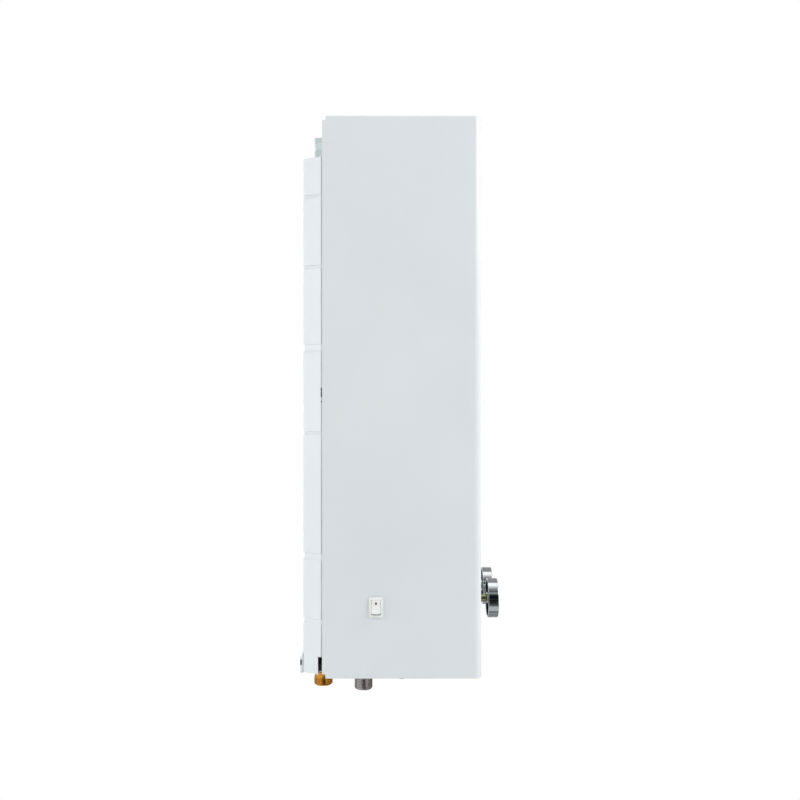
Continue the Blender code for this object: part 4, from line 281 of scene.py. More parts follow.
@dataclass(frozen=True)
class PowderCoat(Finish):
    """Steel sheet with a baked powder coat: an even cool white, a soft gloss and a faint orange peel."""

    patch: Pair = (140.0, 3.0)
    grain: Pair = (1.6, 1.5)  # real orange peel: 1 to 2 mm from wave to wave
    dust: Pair = (9.0, 6.0)  # kitchen dust pattern: it varies the sheen, and flecks the shade painted into the folds
    # painted shade in the folds: how near a fold must be, the open shares where it starts and ends, and how
    # dark it gets
    fold: Four = (0.0011, 0.5, 0.82, 2.0)
    wander: float = 0.06
    relief: Pair = (0.012, 0.5)
    plain: Values = {"IOR": 1.5, "Coat Weight": 0.15, "Coat Roughness": 0.12}

    def dress(self, look: Look) -> None:
        """Cloudy tint, shade painted into the folds and flecked by dust, and orange peel.

        Args:
            look: the material while it is built.
        """
        dust = look.noise(*self.dust)
        # painted shade: the folds' occlusion times the dust pattern pushes the colour towards the greyer
        # second colour
        film = add(look.tree, "Math", {0: look.folds(*self.fold), 1: dust}, operation="MULTIPLY")
        tone = look.blend(look.noise(*self.patch), film.outputs[0])
        look.wear(tone, dust, look.noise(*self.grain))


@dataclass(frozen=True)
class Galvanised(Finish):
    """Hot-dip galvanised sheet: flat zinc crystals, each with its own grey and its own sheen."""

    patch: Pair = (7.0, 2.0)  # real zinc crystals: 5 to 10 mm wide
    grain: Pair = (0.6, 2.0)  # real bloom on them: about 0.1 mm, too fine
    warp: float = 0.004
    wander: float = 0.10
    relief: Pair = (0.02, 0.3)
    plain: Values = {"Metallic": 0.4}

    def dress(self, look: Look) -> None:
        """Crystals with their own tone and sheen over a fine grain.

        Args:
            look: the material while it is built.
        """
        scale = per_metre(self.patch[0])
        warp = add(look.tree, "TexNoise", {"Vector": look.place, "Scale": scale, "Detail": self.patch[1]})
        bent = add(look.tree, "VectorMath", {
            0: warp.outputs["Color"], 1: (self.warp,) * 3, 2: look.place,
        }, operation="MULTIPLY_ADD")
        crystal = add(look.tree, "TexVoronoi", {"Vector": bent.outputs[0], "Scale": scale})
        tone = add(look.tree, "SeparateColor", {"Color": crystal.outputs["Color"]}).outputs
        look.wear(tone["Red"], tone["Green"], look.noise(*self.grain))


@dataclass(frozen=True)
class ChromePlate(Finish):
    """Bright chrome over a moulded knob: a clean mirror with hairlines and a breath of haze."""

    patch: Pair = (14.0, 4.0)
    grain: Pair = (0.8, 3.0)  # real hairlines from wiping: under 0.1 mm apart, too fine
    wander: float = 0.03
    relief: Pair = (0.002, 0.15)


@dataclass(frozen=True)
class TurnedMetal(Finish):
    """Bar metal cut on a lathe: fine rings round the axis, a darker film where it was handled, and shade
    painted into its thread roots and folds.
    """

    patch: Pair = (6.0, 5.0)
    grain: Pair = (0.5, 2.0)  # real tool rings: about 0.15 mm apart, too fine
    squash: Point = (0.02, 0.02, 1.0)
    relief: Pair = (0.006, 0.3)
    # painted shade in the folds: how near a fold must be, the open shares where it starts and ends, and how
    # dark it gets
    fold: Four = (0.0015, 0.3, 0.9, 0.8)

    def dress(self, look: Look) -> None:
        """Tool rings along the axis, a blotched film, and shade painted into the folds.

        Args:
            look: the material while it is built.
        """
        film = look.noise(*self.patch)
        # painted shade: the folds' occlusion pushes the colour to the darker second colour, over a fifth of
        # the blotched film
        tone = look.blend(film, look.folds(*self.fold))
        look.wear(tone, film, look.noise(*self.grain, self.squash))


@dataclass(frozen=True)
class DrawnTube(Finish):
    """Drawn copper: warm metal, browned in patches by heat and handling, with faint die lines."""

    patch: Pair = (28.0, 5.0)
    grain: Pair = (0.7, 1.0)  # real die lines: about 0.2 mm apart, too fine
    wander: float = 0.12


@dataclass(frozen=True)
class CastMetal(Finish):
    """Die-cast metal: a matt, faintly pebbled skin with darker flow marks."""

    patch: Pair = (18.0, 4.0)
    pebble_mm: float = 0.9  # real pebbles: about 0.4 mm wide, too fine
    wander: float = 0.08
    relief: Pair = (0.03, 0.3)

    def dress(self, look: Look) -> None:
        """Pebbled skin and flow marks.

        Args:
            look: the material while it is built.
        """
        pebble = add(look.tree, "TexVoronoi", {"Vector": look.place, "Scale": per_metre(self.pebble_mm)})
        flow = look.noise(*self.patch)
        look.wear(flow, flow, pebble.outputs["Distance"])


@dataclass(frozen=True)
class BrushedSheet(Finish):
    """Rolled stainless sheet with a brushed grain that runs along X."""

    patch: Pair = (30.0, 3.0)
    grain: Pair = (0.35, 2.0)  # real brush lines: about 0.1 mm apart, too fine
    squash: Point = (0.03, 1.0, 1.0)
    wander: float = 0.10
    relief: Pair = (0.006, 0.4)
    plain: Values = {"Metallic": 1.0, "Anisotropic": 0.4}

    def dress(self, look: Look) -> None:
        """Long grain and a slow cloud of tone."""
        grain = look.noise(*self.grain, self.squash)
        look.wear(look.noise(*self.patch), grain, grain)


@dataclass(frozen=True)
class MouldedPlastic(Finish):
    """Injection-moulded plastic: one colour through, fine spark-eroded grain, and sheen where fingers go."""

    patch: Pair = (20.0, 3.0)
    grain: Pair = (0.35, 1.0)  # real spark-eroded pits: about 0.1 mm wide, too fine
    wander: float = 0.07
    relief: Pair = (0.008, 0.4)
    plain: Values = {"IOR": 1.53}


@dataclass(frozen=True)
class ExtrudedRubber(Finish):
    """Extruded rubber: matt, with a grey bloom in patches and fine lines along its length."""

    grain: Pair = (0.5, 1.0)  # real die lines: about 0.2 mm apart, too fine
    squash: Point = (1.0, 1.0, 0.05)
    wander: float = 0.1
    relief: Pair = (0.02, 0.5)
    plain: Values = {"IOR": 1.52}


@dataclass(frozen=True)
class GlazedCeramic(Finish):
    """Glazed steatite: cream white under a wet-looking glaze, with fine specks."""

    patch: Pair = (1.2, 4.0)
    grain: Pair = (1.2, 4.0)  # real specks under the glaze: about 1 mm apart
    relief: Pair = (0.004, 0.2)
    plain: Values = {"IOR": 1.6, "Coat Weight": 0.6}


@dataclass(frozen=True)
class SmokedGlass(Finish):
    """Smoked sight glass: you see the burner dimly through it, with a faint film on the face."""

    patch: Pair = (12.0, 4.0)
    grain: Pair = (12.0, 4.0)  # a wiped film, as wide as a finger
    wander: float = 0.03
    relief: Pair = (0.01, 0.1)
    plain: Values = {"Transmission Weight": 0.85, "IOR": 1.52}


STAINLESS = BrushedSheet("stainless_sheet_brushed", "C3C4C3", "A7A8A7", 0.3)
SPRING_STEEL = BrushedSheet("spring_steel_strip", "9A9B9C", "7B7C7D", 0.3)
# turned metal: its second colour is both a handled film and the shade painted into its folds
SPINDLE = TurnedMetal("brass_spindle_turned", "B4BA86", "6E7050", 0.16, squash=(0.02, 1.0, 0.02))
PAD_RUBBER = ExtrudedRubber("rubber_pad_grey_green", "555E55", "454C45", 0.72)
WHITE_ABS = MouldedPlastic("abs_moulded_white", "F9FBF9", "F1F3F0", 0.32)
BLACK_NYLON = MouldedPlastic(
    "nylon_moulded_black", "26282A", "1A1B1D", 0.48, grain=(0.5, 1.0), relief=(0.02, 0.4),
)
FINISHES = {
    # second colour: a cloudy tint, and the shade painted into the folds
    "white_enamel": PowderCoat("powder_coated_steel_white", "E9EEF1", "B9C1C6", 0.34),
    "galvanised": Galvanised("galvanised_steel_sheet", "E4ECEC", "CDD8D8", 0.44),
    # turned metal: the second colour is both a handled film and the shade painted into its thread roots
    "zinc_screw": TurnedMetal("zinc_plated_steel_turned", "B9BBB6", "8C8E8A", 0.34),
    "window_steel": STAINLESS,
    "window_glass": SmokedGlass("sight_glass_smoked", "5A6466", "464F52", 0.06),
    "knob_chrome": ChromePlate("chrome_plated_knob", "D8DDDF", "CBD1D4", 0.045),
    # turned metal: the second colour is both a handled film and the shade painted into its thread roots
    "grey_steel": TurnedMetal("steel_bar_turned_grey", "B2AEAD", "6C6868", 0.16),
    "white_plastic": WHITE_ABS,
    "red_plastic": MouldedPlastic("abs_moulded_dark_red", "701626", "521019", 0.35),
    "side_clip": BLACK_NYLON,
    # turned metal: the second colour is both a handled film and the shade painted into its thread roots
    "brass": TurnedMetal("brass_bar_turned", "D0963F", "7E4C1A", 0.20),
    "rubber": ExtrudedRubber("rubber_extruded_black", "1B1B1A", "2A2A28", 0.68),
    "cast_aluminium": CastMetal("aluminium_die_cast", "B4B6B8", "8F9194", 0.5),
    "black_plastic": BLACK_NYLON,
    "stainless": STAINLESS,
    "spring_steel": SPRING_STEEL,
    "copper": DrawnTube("copper_tube_drawn", "C9825F", "8A5138", 0.34),
    "ceramic": GlazedCeramic("steatite_glazed", "EAE6DC", "DCD6C8", 0.22),
    "cell_wrap": MouldedPlastic("cell_sleeve_shrunk_green", "37553F", "2A4433", 0.28),
    "battery_door": WHITE_ABS,
}


def bend(points: Sequence[Point], radius: float, steps: int = 6, looped: bool = False) -> list[Vector]:
    """Round the corners of a chain of points with arcs.

    Args:
        points: the corners, flat or in space.
        radius: the arcs' radius, made smaller where a stretch is too short for it.
        steps: flat pieces to each arc.
        looped: whether the last point joins the first.

    Returns:
        The points of the softened chain.
    """
    chain = [Vector(point) for point in points]
    if looped:
        chain = [chain[-1], *chain, chain[0]]
    soft = [] if looped else [chain[0]]
    for before, corner, after in zip(chain, chain[1:], chain[2:]):
        back, ahead = before - corner, after - corner
        half = back.angle(ahead) / 2
        cut = min(radius / math.tan(half), back.length * ARC_REACH, ahead.length * ARC_REACH)
        if cut < TINY or half > STRAIGHT:
            soft += [corner] * (steps + 1)
            continue
        back.normalize()
        ahead.normalize()
        centre = corner + (back + ahead).normalized() * (cut * math.tan(half) / math.sin(half))
        start, end = corner + back * cut - centre, corner + ahead * cut - centre
        turn = start.angle(end)
        for step in range(steps + 1):
            share = step / steps
            mixed = start * math.sin((1 - share) * turn) + end * math.sin(share * turn)
            soft.append(centre + mixed / math.sin(turn))
    return soft if looped else [*soft, chain[-1]]


def box_outline(wide: float, tall: float, radius: float, steps: int = 8) -> list[Vector]:
    """A rounded rectangle about the origin, as flat points."""
    x, y = wide / 2, tall / 2
    return bend([(x, -y), (x, y), (-x, y), (-x, -y)], min(radius, min(x, y) * FULL_ROUND), steps, looped=True)


def bridge(rows: Sequence[Sequence[Point]]) -> tuple[Shape, list[list[bmesh.types.BMVert]]]:
    """Join rows of points into an open skin.

    Args:
        rows: closed rows of as many points each, in order.

    Returns:
        The new shape, and the corners of each row.
    """
    shape = bmesh.new()
    rings = [[shape.verts.new(point) for point in row] for row in rows]
    for lower, upper in zip(rings, rings[1:]):
        for k in range(len(lower)):
            n = (k + 1) % len(lower)
            shape.faces.new((lower[k], lower[n], upper[n], upper[k]))
    return shape, rings


def skin(rows: Sequence[Sequence[Point]], capped: bool = True) -> Shape:
    """Join closed rows of points into one skin.

    Args:
        rows: rows of as many points each, in order.
        capped: whether the first and last rows are filled.

    Returns:
        The new shape.
    """
    shape, rings = bridge(rows)
    if capped:
        shape.faces.new(rings[0])
        shape.faces.new(rings[-1])
    bmesh.ops.remove_doubles(shape, verts=shape.verts, dist=TINY)
    bmesh.ops.recalc_face_normals(shape, faces=shape.faces)
    return shape


def beside(chain: Sequence[Vector], distance: float) -> list[Vector]:
    """Move a chain of flat points to its left, with mitred corners.

    Args:
        chain: the points.
        distance: how far they move.

    Returns:
        The moved points.
    """
    lefts = []
    for first, second in zip(chain, chain[1:]):
        along = (second - first).normalized()
        lefts.append(Vector((-along.y, along.x)))
    moved = [chain[0] + lefts[0] * distance]
    for point, before, after in zip(chain[1:], lefts, lefts[1:]):
        moved.append(point + (before + after) * distance / (1 + before.dot(after)))
    return [*moved, chain[-1] + lefts[-1] * distance]


def sheet(rows: Sequence[tuple[Sequence[Vector], float, float]], thick: float) -> Shape:
    """Form a sheet that is bent along each row and shaped from row to row.

    Args:
        rows: for each row its flat chain of points, its Z, and how far its second face is shifted in Z.
        thick: the sheet's thickness, to the left of each chain.

    Returns:
        The new closed shape.
    """
    shape, rings = bridge([
        [(p.x, p.y, z) for p in chain] + [(p.x, p.y, z + shift) for p in reversed(beside(chain, thick))]
        for chain, z, shift in rows
    ])
    count = len(rings[0])
    for end in (rings[0], rings[-1]):
        for k in range(count // 2 - 1):
            shape.faces.new((end[k], end[k + 1], end[count - 2 - k], end[count - 1 - k]))
    bmesh.ops.recalc_face_normals(shape, faces=shape.faces)
    return shape


def ring(height: float, sides: int, radius: Callable[[float], float]) -> list[Triple]:
    """A ring of points round +Z at a height, with a radius for each angle."""
    angles = [math.tau * k / sides for k in range(sides)]
    return [(radius(a) * math.cos(a), radius(a) * math.sin(a), height) for a in angles]


def turned(profile: Sequence[Point], sides: int) -> list[list[Triple]]:
    """The rings of a profile of (radius, height) points that is turned about +Z."""
    return [ring(height, sides, lambda _, r=radius: r) for radius, height in profile]


def spin(profile: Sequence[Point], sides: int = FINE) -> Shape:
    """Turn a profile of (radius, height) points about +Z; a radius of 0 closes an end."""
    return skin(turned(profile, sides), capped=False)


def aim(place: Point, direction: Point) -> Matrix:
    """The transform that sets the origin on a place and +Z along a direction."""
    return Matrix.Translation(place) @ Vector(direction).to_track_quat("Z", "Y").to_matrix().to_4x4()


def rounded(shape: Shape, edges: Sequence[bmesh.types.BMEdge], radius: float, steps: int) -> None:
    """Round some of a shape's edges, with this many flat pieces to each."""
    bmesh.ops.bevel(shape, geom=edges, offset=radius, segments=steps, profile=0.5, affect="EDGES")


def block(shape: Shape, low: Point, high: Point, axis: int = Z, radius: float = 0.0, steps: int = 8) -> None:
    """Add a box between two corners, with its edges along one axis rounded.

    Args:
        shape: the mesh that takes the box.
        low: its lowest corner.
        high: its highest corner.
        axis: the axis that the rounded edges run along.
        radius: their radius, or 0 for none.
        steps: flat pieces to each edge.
    """
    low, high = Vector(low), Vector(high)
    size = Matrix.Diagonal((*(high - low), 1.0))
    made = bmesh.ops.create_cube(shape, size=1.0, matrix=Matrix.Translation((low + high) / 2) @ size)
    if radius > 0:
        edges = {edge for vert in made["verts"] for edge in vert.link_edges}
        lines = {edge: (edge.verts[0].co - edge.verts[1].co).normalized() for edge in edges}
        rounded(shape, [edge for edge in edges if abs(lines[edge][axis]) > FACING], radius, steps)


def barrel(shape: Shape, start: Point, end: Point, radius: float, sides: int = ROUND) -> None:
    """Add a straight round bar.

    Args:
        shape: the mesh that takes the bar.
        start: the middle of one end.
        end: the middle of the other.
        radius: the bar's radius.
        sides: flat pieces round it.
    """
    start, end = Vector(start), Vector(end)
    along = end - start
    bmesh.ops.create_cone(
        shape, cap_ends=True, segments=sides, radius1=radius, radius2=radius, depth=along.length,
        matrix=aim((start + end) / 2, along),
    )


def hollow(shape: Shape, low: Point, high: Point, axis: int) -> None:
    """Add a slot with round ends, open along one axis."""
    spans = [high[k] - low[k] for k in range(3) if k != axis]
    block(shape, low, high, axis, min(spans) / 2 * SLOT_ROUND)


def settle(piece: bpy.types.Object) -> None:
    """Turn a piece's modifiers into its own mesh.

    Args:
        piece: the piece.
    """
    graph = bpy.context.evaluated_depsgraph_get()
    mesh = bpy.data.meshes.new_from_object(piece.evaluated_get(graph))
    piece.modifiers.clear()
    spare, piece.data = piece.data, mesh
    bpy.data.meshes.remove(spare)
    mesh.name = piece.name


def link(name: str, data: bpy.types.ID) -> bpy.types.Object:
    """Put data into the scene.

    Args:
        name: the new object's name.
        data: its mesh, lamp or camera.

    Returns:
        The new object.
    """
    made = bpy.data.objects.new(name, data)
    bpy.context.scene.collection.objects.link(made)
    return made


def raw(name: str, shape: Shape) -> bpy.types.Object:
    """Turn a shape into an object.

    Args:
        name: the object's name.
        shape: its mesh, used up here.

    Returns:
        The object.
    """
    mesh = bpy.data.meshes.new(name)
    shape.to_mesh(mesh)
    shape.free()
    return link(name, mesh)


def dress(piece: bpy.types.Object, finish: Finish) -> None:
    """Give a piece one finish all over."""
    piece.data.materials.clear()
    piece.data.materials.append(finish.material())


def place(
    name: str, shape: Shape, *nodes: str, body: str = ROOT, matrix: Matrix | None = None, thick: float = 0.0,
    cuts: Sequence[Shape] = (), slot: str = "", finish: Finish | None = None,
) -> None:
    """Finish a piece and set it on the frame.

    Args:
        name: the piece's name.
        shape: its mesh.
        nodes: the CAD nodes that it stands for.
        body: the CAD body that it rides on.
        matrix: where it goes, if its mesh isn't in the frame already.
        thick: the sheet thickness added behind its faces, or 0 for a solid piece.
        cuts: the shapes cut from it, one after the other.
        slot: the record's slot for its finish, if not that of its first node.
        finish: what it is made of, if not what its slot says.
    """
    slot = slot or SLOTS[nodes[0]]
    piece = raw(name, shape)
    if thick:
        walls = piece.modifiers.new("walls", "SOLIDIFY")
        walls.thickness, walls.offset, walls.use_even_offset = thick, -1.0, True
    cutters = [raw(name + "_cut", tool) for tool in cuts]
    for cutter in cutters:
        cut = piece.modifiers.new("cut", "BOOLEAN")
        cut.operation, cut.solver, cut.object = "DIFFERENCE", "EXACT", cutter
    settle(piece)
    for cutter in cutters:
        bpy.data.meshes.remove(cutter.data)
    if matrix is not None:
        piece.data.transform(matrix)
    for polygon in piece.data.polygons:
        polygon.use_smooth = True
    piece.data.set_sharp_from_angle(angle=SMOOTH_ANGLE)
    piece.modifiers.new("even_normals", "WEIGHTED_NORMAL").keep_sharp = True
    dress(piece, finish or FINISHES[slot])
    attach(piece, body)
    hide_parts(*nodes)
    LOG.info("%s: %d faces, in place of %s", name, len(piece.data.polygons), ", ".join(nodes) or "no node")


@dataclass
class Studio:
    """The floor, the light, the camera, and grey cards that mirrors alone see, each a tone and its edges."""

    floor_z: float = -1.0
    floor_half: float = 6.0
    paper: str = "F4F5F6"
    camera_at: Triple = (-1.072, -0.1002, -0.2964)
    lens_mm: float = 40.0
    sensor_mm: float = 36.0
    clip: Pair = (0.01, 50.0)
    day: float = 0.415
    floor_gap: float = 0.006
    ceiling: float = 1.5
    near_wall: float = -2.0
    far_wall: float = 3.5
    far_tone: float = 0.40
    far_low: float = -0.3
    span: Pair = (-1.1, 0.5)
    lamps: tuple[tuple[str, Triple, float, float, bool], ...] = (
        ("key_light", (-0.95, -1.85, 0.95), 1.5, 38.0, True),
        ("rear_light", (-0.75, 2.6, 0.1), 1.8, 45.0, False),
        ("far_light", (1.8, -0.9, 1.0), 1.6, 9.0, False),
    )
    wall_cards: tuple[Triple, ...] = (
        (0.27, 1.08, 1.5), (0.40, 0.74, 1.08), (0.11, 0.46, 0.74), (0.024, 0.2, 0.46), (0.010, -0.4, 0.2),
        (0.038, -0.6, -0.4), (0.009, -0.99, -0.6),
    )
    ceiling_cards: tuple[Triple, ...] = (
        (0.11, -2.0, -1.7), (0.23, -1.7, -1.35), (0.32, -1.35, -1.05), (0.45, -1.05, -0.8),
        (0.72, -0.8, -0.55), (1.4, -0.3, 0.5), (0.5, 0.6, 0.9), (0.33, 0.9, 2.0), (0.37, 2.0, 3.5),
    )
    floor_cards: tuple[tuple[float, float, float, float, float], ...] = (
        (0.010, -2.0, -1.6, -0.65, -0.1), (0.02, -1.6, -1.35, -0.65, -0.1), (0.045, -1.35, -1.0, -0.65, -0.1),
        (0.095, -1.0, -0.8, -0.6, -0.1), (0.12, -0.8, -0.64, -0.6, -0.1), (0.37, -0.64, -0.53, -0.6, -0.1),
        (0.60, -0.53, -0.19, -0.6, -0.1), (0.23, -0.19, -0.045, -0.6, -0.1), (0.38, -0.045, 0.03, -0.6, -0.1),
        (0.31, 0.03, 0.14, -0.6, -0.1), (0.22, 0.14, 0.3, -0.6, -0.1), (0.20, -1.6, -0.9, -0.1, 0.25),
        (0.40, -1.6, -0.9, 0.25, 0.5), (0.10, -0.6, 0.4, -1.4, -1.0), (0.60, -1.0, -0.6, -1.2, -0.75),
        (0.02, 0.4, 1.3, -1.4, -0.2), (0.60, 0.0, 0.35, 0.8, 1.4), (0.33, 0.35, 1.3, 0.3, 1.4),
    )

    def build(self) -> None:
        """Set up everything round the object."""
        self.floor()
        self.sky()
        for lamp in self.lamps:
            self.softbox(*lamp)
        self.hang_cards()
        self.camera()
        LOG.info("studio ready")

    @staticmethod
    def plain_white(tree: Tree) -> Socket:
        """Ask which rays see the plain background.

        Args:
            tree: the node tree that asks.

        Returns:
            1 for rays from the camera, mirrors and glass, and 0 for the rest.
        """
        rays = add(tree, "LightPath").outputs
        seen = rays[Ray.CAMERA.value]
        for ray in (Ray.GLOSSY, Ray.TRANSMISSION):
            seen = add(tree, "Math", {0: seen, 1: rays[ray.value]}, operation="MAXIMUM").outputs[0]
        return seen

    def floor(self) -> None:
        """The pale floor below the heater."""
        shape = bmesh.new()
        bmesh.ops.create_grid(shape, x_segments=2, y_segments=2, size=self.floor_half)
        ground = raw("floor", shape)
        ground.location = (0.0, 0.0, self.floor_z)
        paper = empty_material("pale_floor_paper")
        tree = paper.node_tree
        matt = add(tree, "BsdfDiffuse", {"Color": linear(self.paper)})
        glow = add(tree, "Emission", {"Color": linear(WHITE), "Strength": 1.0})
        mixed = add(tree, "MixShader", {0: self.plain_white(tree), 1: matt.outputs[0], 2: glow.outputs[0]})
        add(tree, "OutputMaterial", {"Surface": mixed.outputs[0]})
        ground.data.materials.append(paper)

    def sky(self) -> None:
        """White all round for the camera and for mirrors, and a soft fill for everything else."""
        world = bpy.data.worlds.new("studio_sky")
        world.use_nodes = True
        bpy.context.scene.world = world
        tree = world.node_tree
        tree.nodes.clear()
        level = add(tree, "MapRange", {"Value": self.plain_white(tree), "To Min": self.day, "To Max": 1.0})
        shine = add(tree, "Background", {"Color": linear(WHITE), "Strength": level.outputs["Result"]})
        add(tree, "OutputWorld", {"Surface": shine.outputs[0]})

    @staticmethod
    def softbox(name: str, at: Point, size: float, power: float, mirrored: bool) -> None:
        """Hang a square soft lamp that faces the heater.

        Args:
            name: its name.
            at: where it hangs.
            size: the length of its side.
            power: its power in watts.
            mirrored: whether mirrors show it.
        """
        lamp = bpy.data.lights.new(name, "AREA")
        lamp.size, lamp.energy = size, power
        holder = link(name, lamp)
        holder.visible_glossy = mirrored
        holder.matrix_world = aim(at, Vector(at) - MIDDLE)

    def hang_cards(self) -> None:
        """Hang the grey cards all round, which draw the bands on chrome and brass."""
        near, far = self.span
        wall, level, top = self.near_wall, self.floor_z + self.floor_gap, self.ceiling
        boxes = [(tone, (wall, near, low), (wall, far, high)) for tone, low, high in self.wall_cards]
        boxes += [(tone, (low, near, top), (high, far, top)) for tone, low, high in self.ceiling_cards]
        boxes += [(tone, (low, front, level), (high, back, level))
                  for tone, low, high, front, back in self.floor_cards]
        boxes.append((self.far_tone, (self.far_wall, near, self.far_low), (self.far_wall, far, top)))
        for index, box in enumerate(boxes):
            self.card(f"grey_card_{index}", *box)

    @staticmethod
    def card(name: str, tone: float, low: Point, high: Point) -> None:
        """Hang one flat card.

        Args:
            name: its name.
            tone: how light it looks, from 0 to 1 or a little over.
            low: its lowest corner.
            high: its highest corner, level with the first along one axis.
        """
        if low[0] == high[0]:
            corners = [low, (low[0], high[1], low[2]), high, (low[0], low[1], high[2])]
        else:
            corners = [low, (high[0], low[1], low[2]), high, (low[0], high[1], low[2])]
        shape = bmesh.new()
        shape.faces.new([shape.verts.new(corner) for corner in corners])
        made, paint = raw(name, shape), empty_material(name + "_paint")
        glow = add(paint.node_tree, "Emission", {"Color": (tone, tone, tone, 1.0), "Strength": 1.0})
        add(paint.node_tree, "OutputMaterial", {"Surface": glow.outputs[0]})
        made.data.materials.append(paint)
        for ray in ("camera", "diffuse", "shadow", "transmission"):
            setattr(made, "visible_" + ray, False)

    def camera(self) -> None:
        """The camera, level with the middle of the case and square to its left side."""
        eye = bpy.data.cameras.new("camera")
        eye.lens, eye.sensor_width = self.lens_mm, self.sensor_mm
        eye.clip_start, eye.clip_end = self.clip
        holder = link("camera", eye)
        holder.matrix_world = Matrix.Translation(self.camera_at) @ Matrix((
            (0, 0, -1, 0), (-1, 0, 0, 0), (0, 1, 0, 0), (0, 0, 0, 1),
        ))
        bpy.context.scene.camera = holder


@dataclass
class Case:
    """Where the case stands, read from the frame: the planes and places that its pieces share."""

    notch: Triple = (0.016, 0.0035, 0.0046)
    slot_wide: float = 0.0043
    screw_at: Pair = (0.160, -0.1021)
    switch_at: Pair = (-0.0757, 0.0732)
    tab_x: float = 0.141
    tab_hole: float = 0.0028
    clip_rise: float = 0.2897
    pan_drop: float = 0.041

    def __post_init__(self) -> None:
        """Read the planes from the cover's node."""
        low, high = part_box("front_cover")
        self.half, self.front, self.bottom = high.x, low.y, low.z
        self.rear, self.top = high.y, high.z

    def rise(self, height: float) -> float:
        """The Z of a height above the cover's lower edge."""
        return self.bottom + height

    def notches(self) -> Shape:
        """The notches at the rear corners, cut from the cover and the back plate alike.

        Returns:
            The cutters as one shape.
        """
        shape = bmesh.new()
        long, deep, tall = self.notch
        front, back = self.rear - deep, self.rear + self.slot_wide
        for side in Side:
            low, high = side.span(self.half - long, self.half + OVERRUN)
            block(shape, (low, front, self.top - tall), (high, back, self.top + OVERRUN))
            block(shape, (low, front, self.bottom - OVERRUN), (high, back, self.bottom + tall))
        return shape


@dataclass
class Cover:
    """The enamelled steel cover: front, sides and top drawn from one sheet, with folds round its foot."""

    case: Case
    sheet: float = 0.0008
    edge: float = 0.0075
    edge_steps: int = 10
    top_edge: float = 0.0015
    top_steps: int = 4
    fold: float = 0.0012
    fold_steps: int = 3
    lip: float = 0.010
    knob_x: float = 0.034
    knob_rise: float = 0.054
    knob_hole: float = 0.0065
    slot_x: float = 0.052
    slot: Pair = (0.085, 0.004)
    slot_pitch: float = 0.010
    slot_rows: int = 6
    slot_drop: float = 0.028
    window: Pair = (0.056, 0.018)
    window_rise: float = 0.135
    switch_hole: Pair = (0.0134, 0.0194)
    screw_hole: float = 0.0018
    screw_sides: int = 24

    def build(self) -> None:
        """Press the cover and cut its openings."""
        cuts = [self.case.notches(), self.openings()]
        place("cover_sheet", self.pressed(), "front_cover", thick=self.sheet, cuts=cuts)

    def pressed(self) -> Shape:
        """The outer face of the cover, open at the rear and below.

        Returns:
            The face as an open shape.
        """
        case, shape = self.case, bmesh.new()
        block(shape, (-case.half, case.front, case.bottom), (case.half, case.rear, case.top))
        under = [face for face in shape.faces if face.normal.z < -FACING]
        bmesh.ops.inset_individual(shape, faces=under, thickness=self.lip, use_even_offset=True)
        for vert in shape.verts:
            if abs(vert.co.y - case.rear + self.lip) < TINY:
                vert.co.y = case.rear
        middle = (case.front + case.rear) / 2 - self.lip
        spare = [face for face in shape.faces if face.normal.y > FACING]
        for face in shape.faces:
            centre = face.calc_center_median()
            if face.normal.z < -FACING and abs(centre.x) < self.lip and centre.y > middle:
                spare.append(face)
        bmesh.ops.delete(shape, geom=spare, context="FACES")
        upright = [edge for edge in self.level(shape, Y, case.front)
                   if abs(edge.verts[0].co.z - edge.verts[1].co.z) > self.lip]
        rounded(shape, upright, self.edge, self.edge_steps)
        brow = [edge for edge in self.level(shape, Z, case.top) if len(edge.link_faces) > 1]
        rounded(shape, brow, self.top_edge, self.top_steps)
        tight = [edge for edge in shape.edges if len(edge.link_faces) == 2
                 and sum(face.normal.z < -FACING for face in edge.link_faces) == 1]
        rounded(shape, tight, self.fold, self.fold_steps)
        return shape

    @staticmethod
    def level(shape: Shape, axis: int, value: float) -> list[bmesh.types.BMEdge]:
        """The shape's edges that lie at one value of an axis."""
        return [edge for edge in shape.edges if all(abs(vert.co[axis] - value) < TINY for vert in edge.verts)]

    def openings(self) -> Shape:
        """Everything cut from the cover.

        Returns:
            The cutters as one shape.
        """
        case, holes = self.case, bmesh.new()
        front, behind = self.through()
        for side in Side:
            x, z = side.value * self.knob_x, case.rise(self.knob_rise)
            barrel(holes, (x, front, z), (x, behind, z), self.knob_hole)
            for row in range(self.slot_rows):
                z = case.top - self.slot_drop - row * self.slot_pitch
                self.slit(holes, side.value * self.slot_x, z, self.slot)
            x, y = side.value * case.screw_at[0], case.screw_at[1]
            below, above = (x, y, case.bottom - OVERRUN), (x, y, case.bottom + OVERRUN)
            barrel(holes, below, above, self.screw_hole, self.screw_sides)
        self.slit(holes, 0.0, case.rise(self.window_rise), self.window)
        wide, tall = self.switch_hole
        y, z = case.switch_at[0], case.rise(case.switch_at[1])
        block(holes, (-case.half - OVERRUN, y - wide / 2, z - tall / 2),
              (-case.half + OVERRUN, y + wide / 2, z + tall / 2))
        return holes

    def slit(self, holes: Shape, x: float, z: float, size: Pair) -> None:
        """Add a slot with round ends through the front.

        Args:
            holes: the shape that takes it.
            x: its middle across the front.
            z: its middle height.
            size: how wide and how tall it is.
        """
        (wide, tall), (front, behind) = size, self.through()
        hollow(holes, (x - wide / 2, front, z - tall / 2), (x + wide / 2, behind, z + tall / 2), Y)

    def through(self) -> Pair:
        """The Y before and behind the front sheet that its cutters span."""
        return self.case.front - OVERRUN, self.case.front + self.sheet + OVERRUN


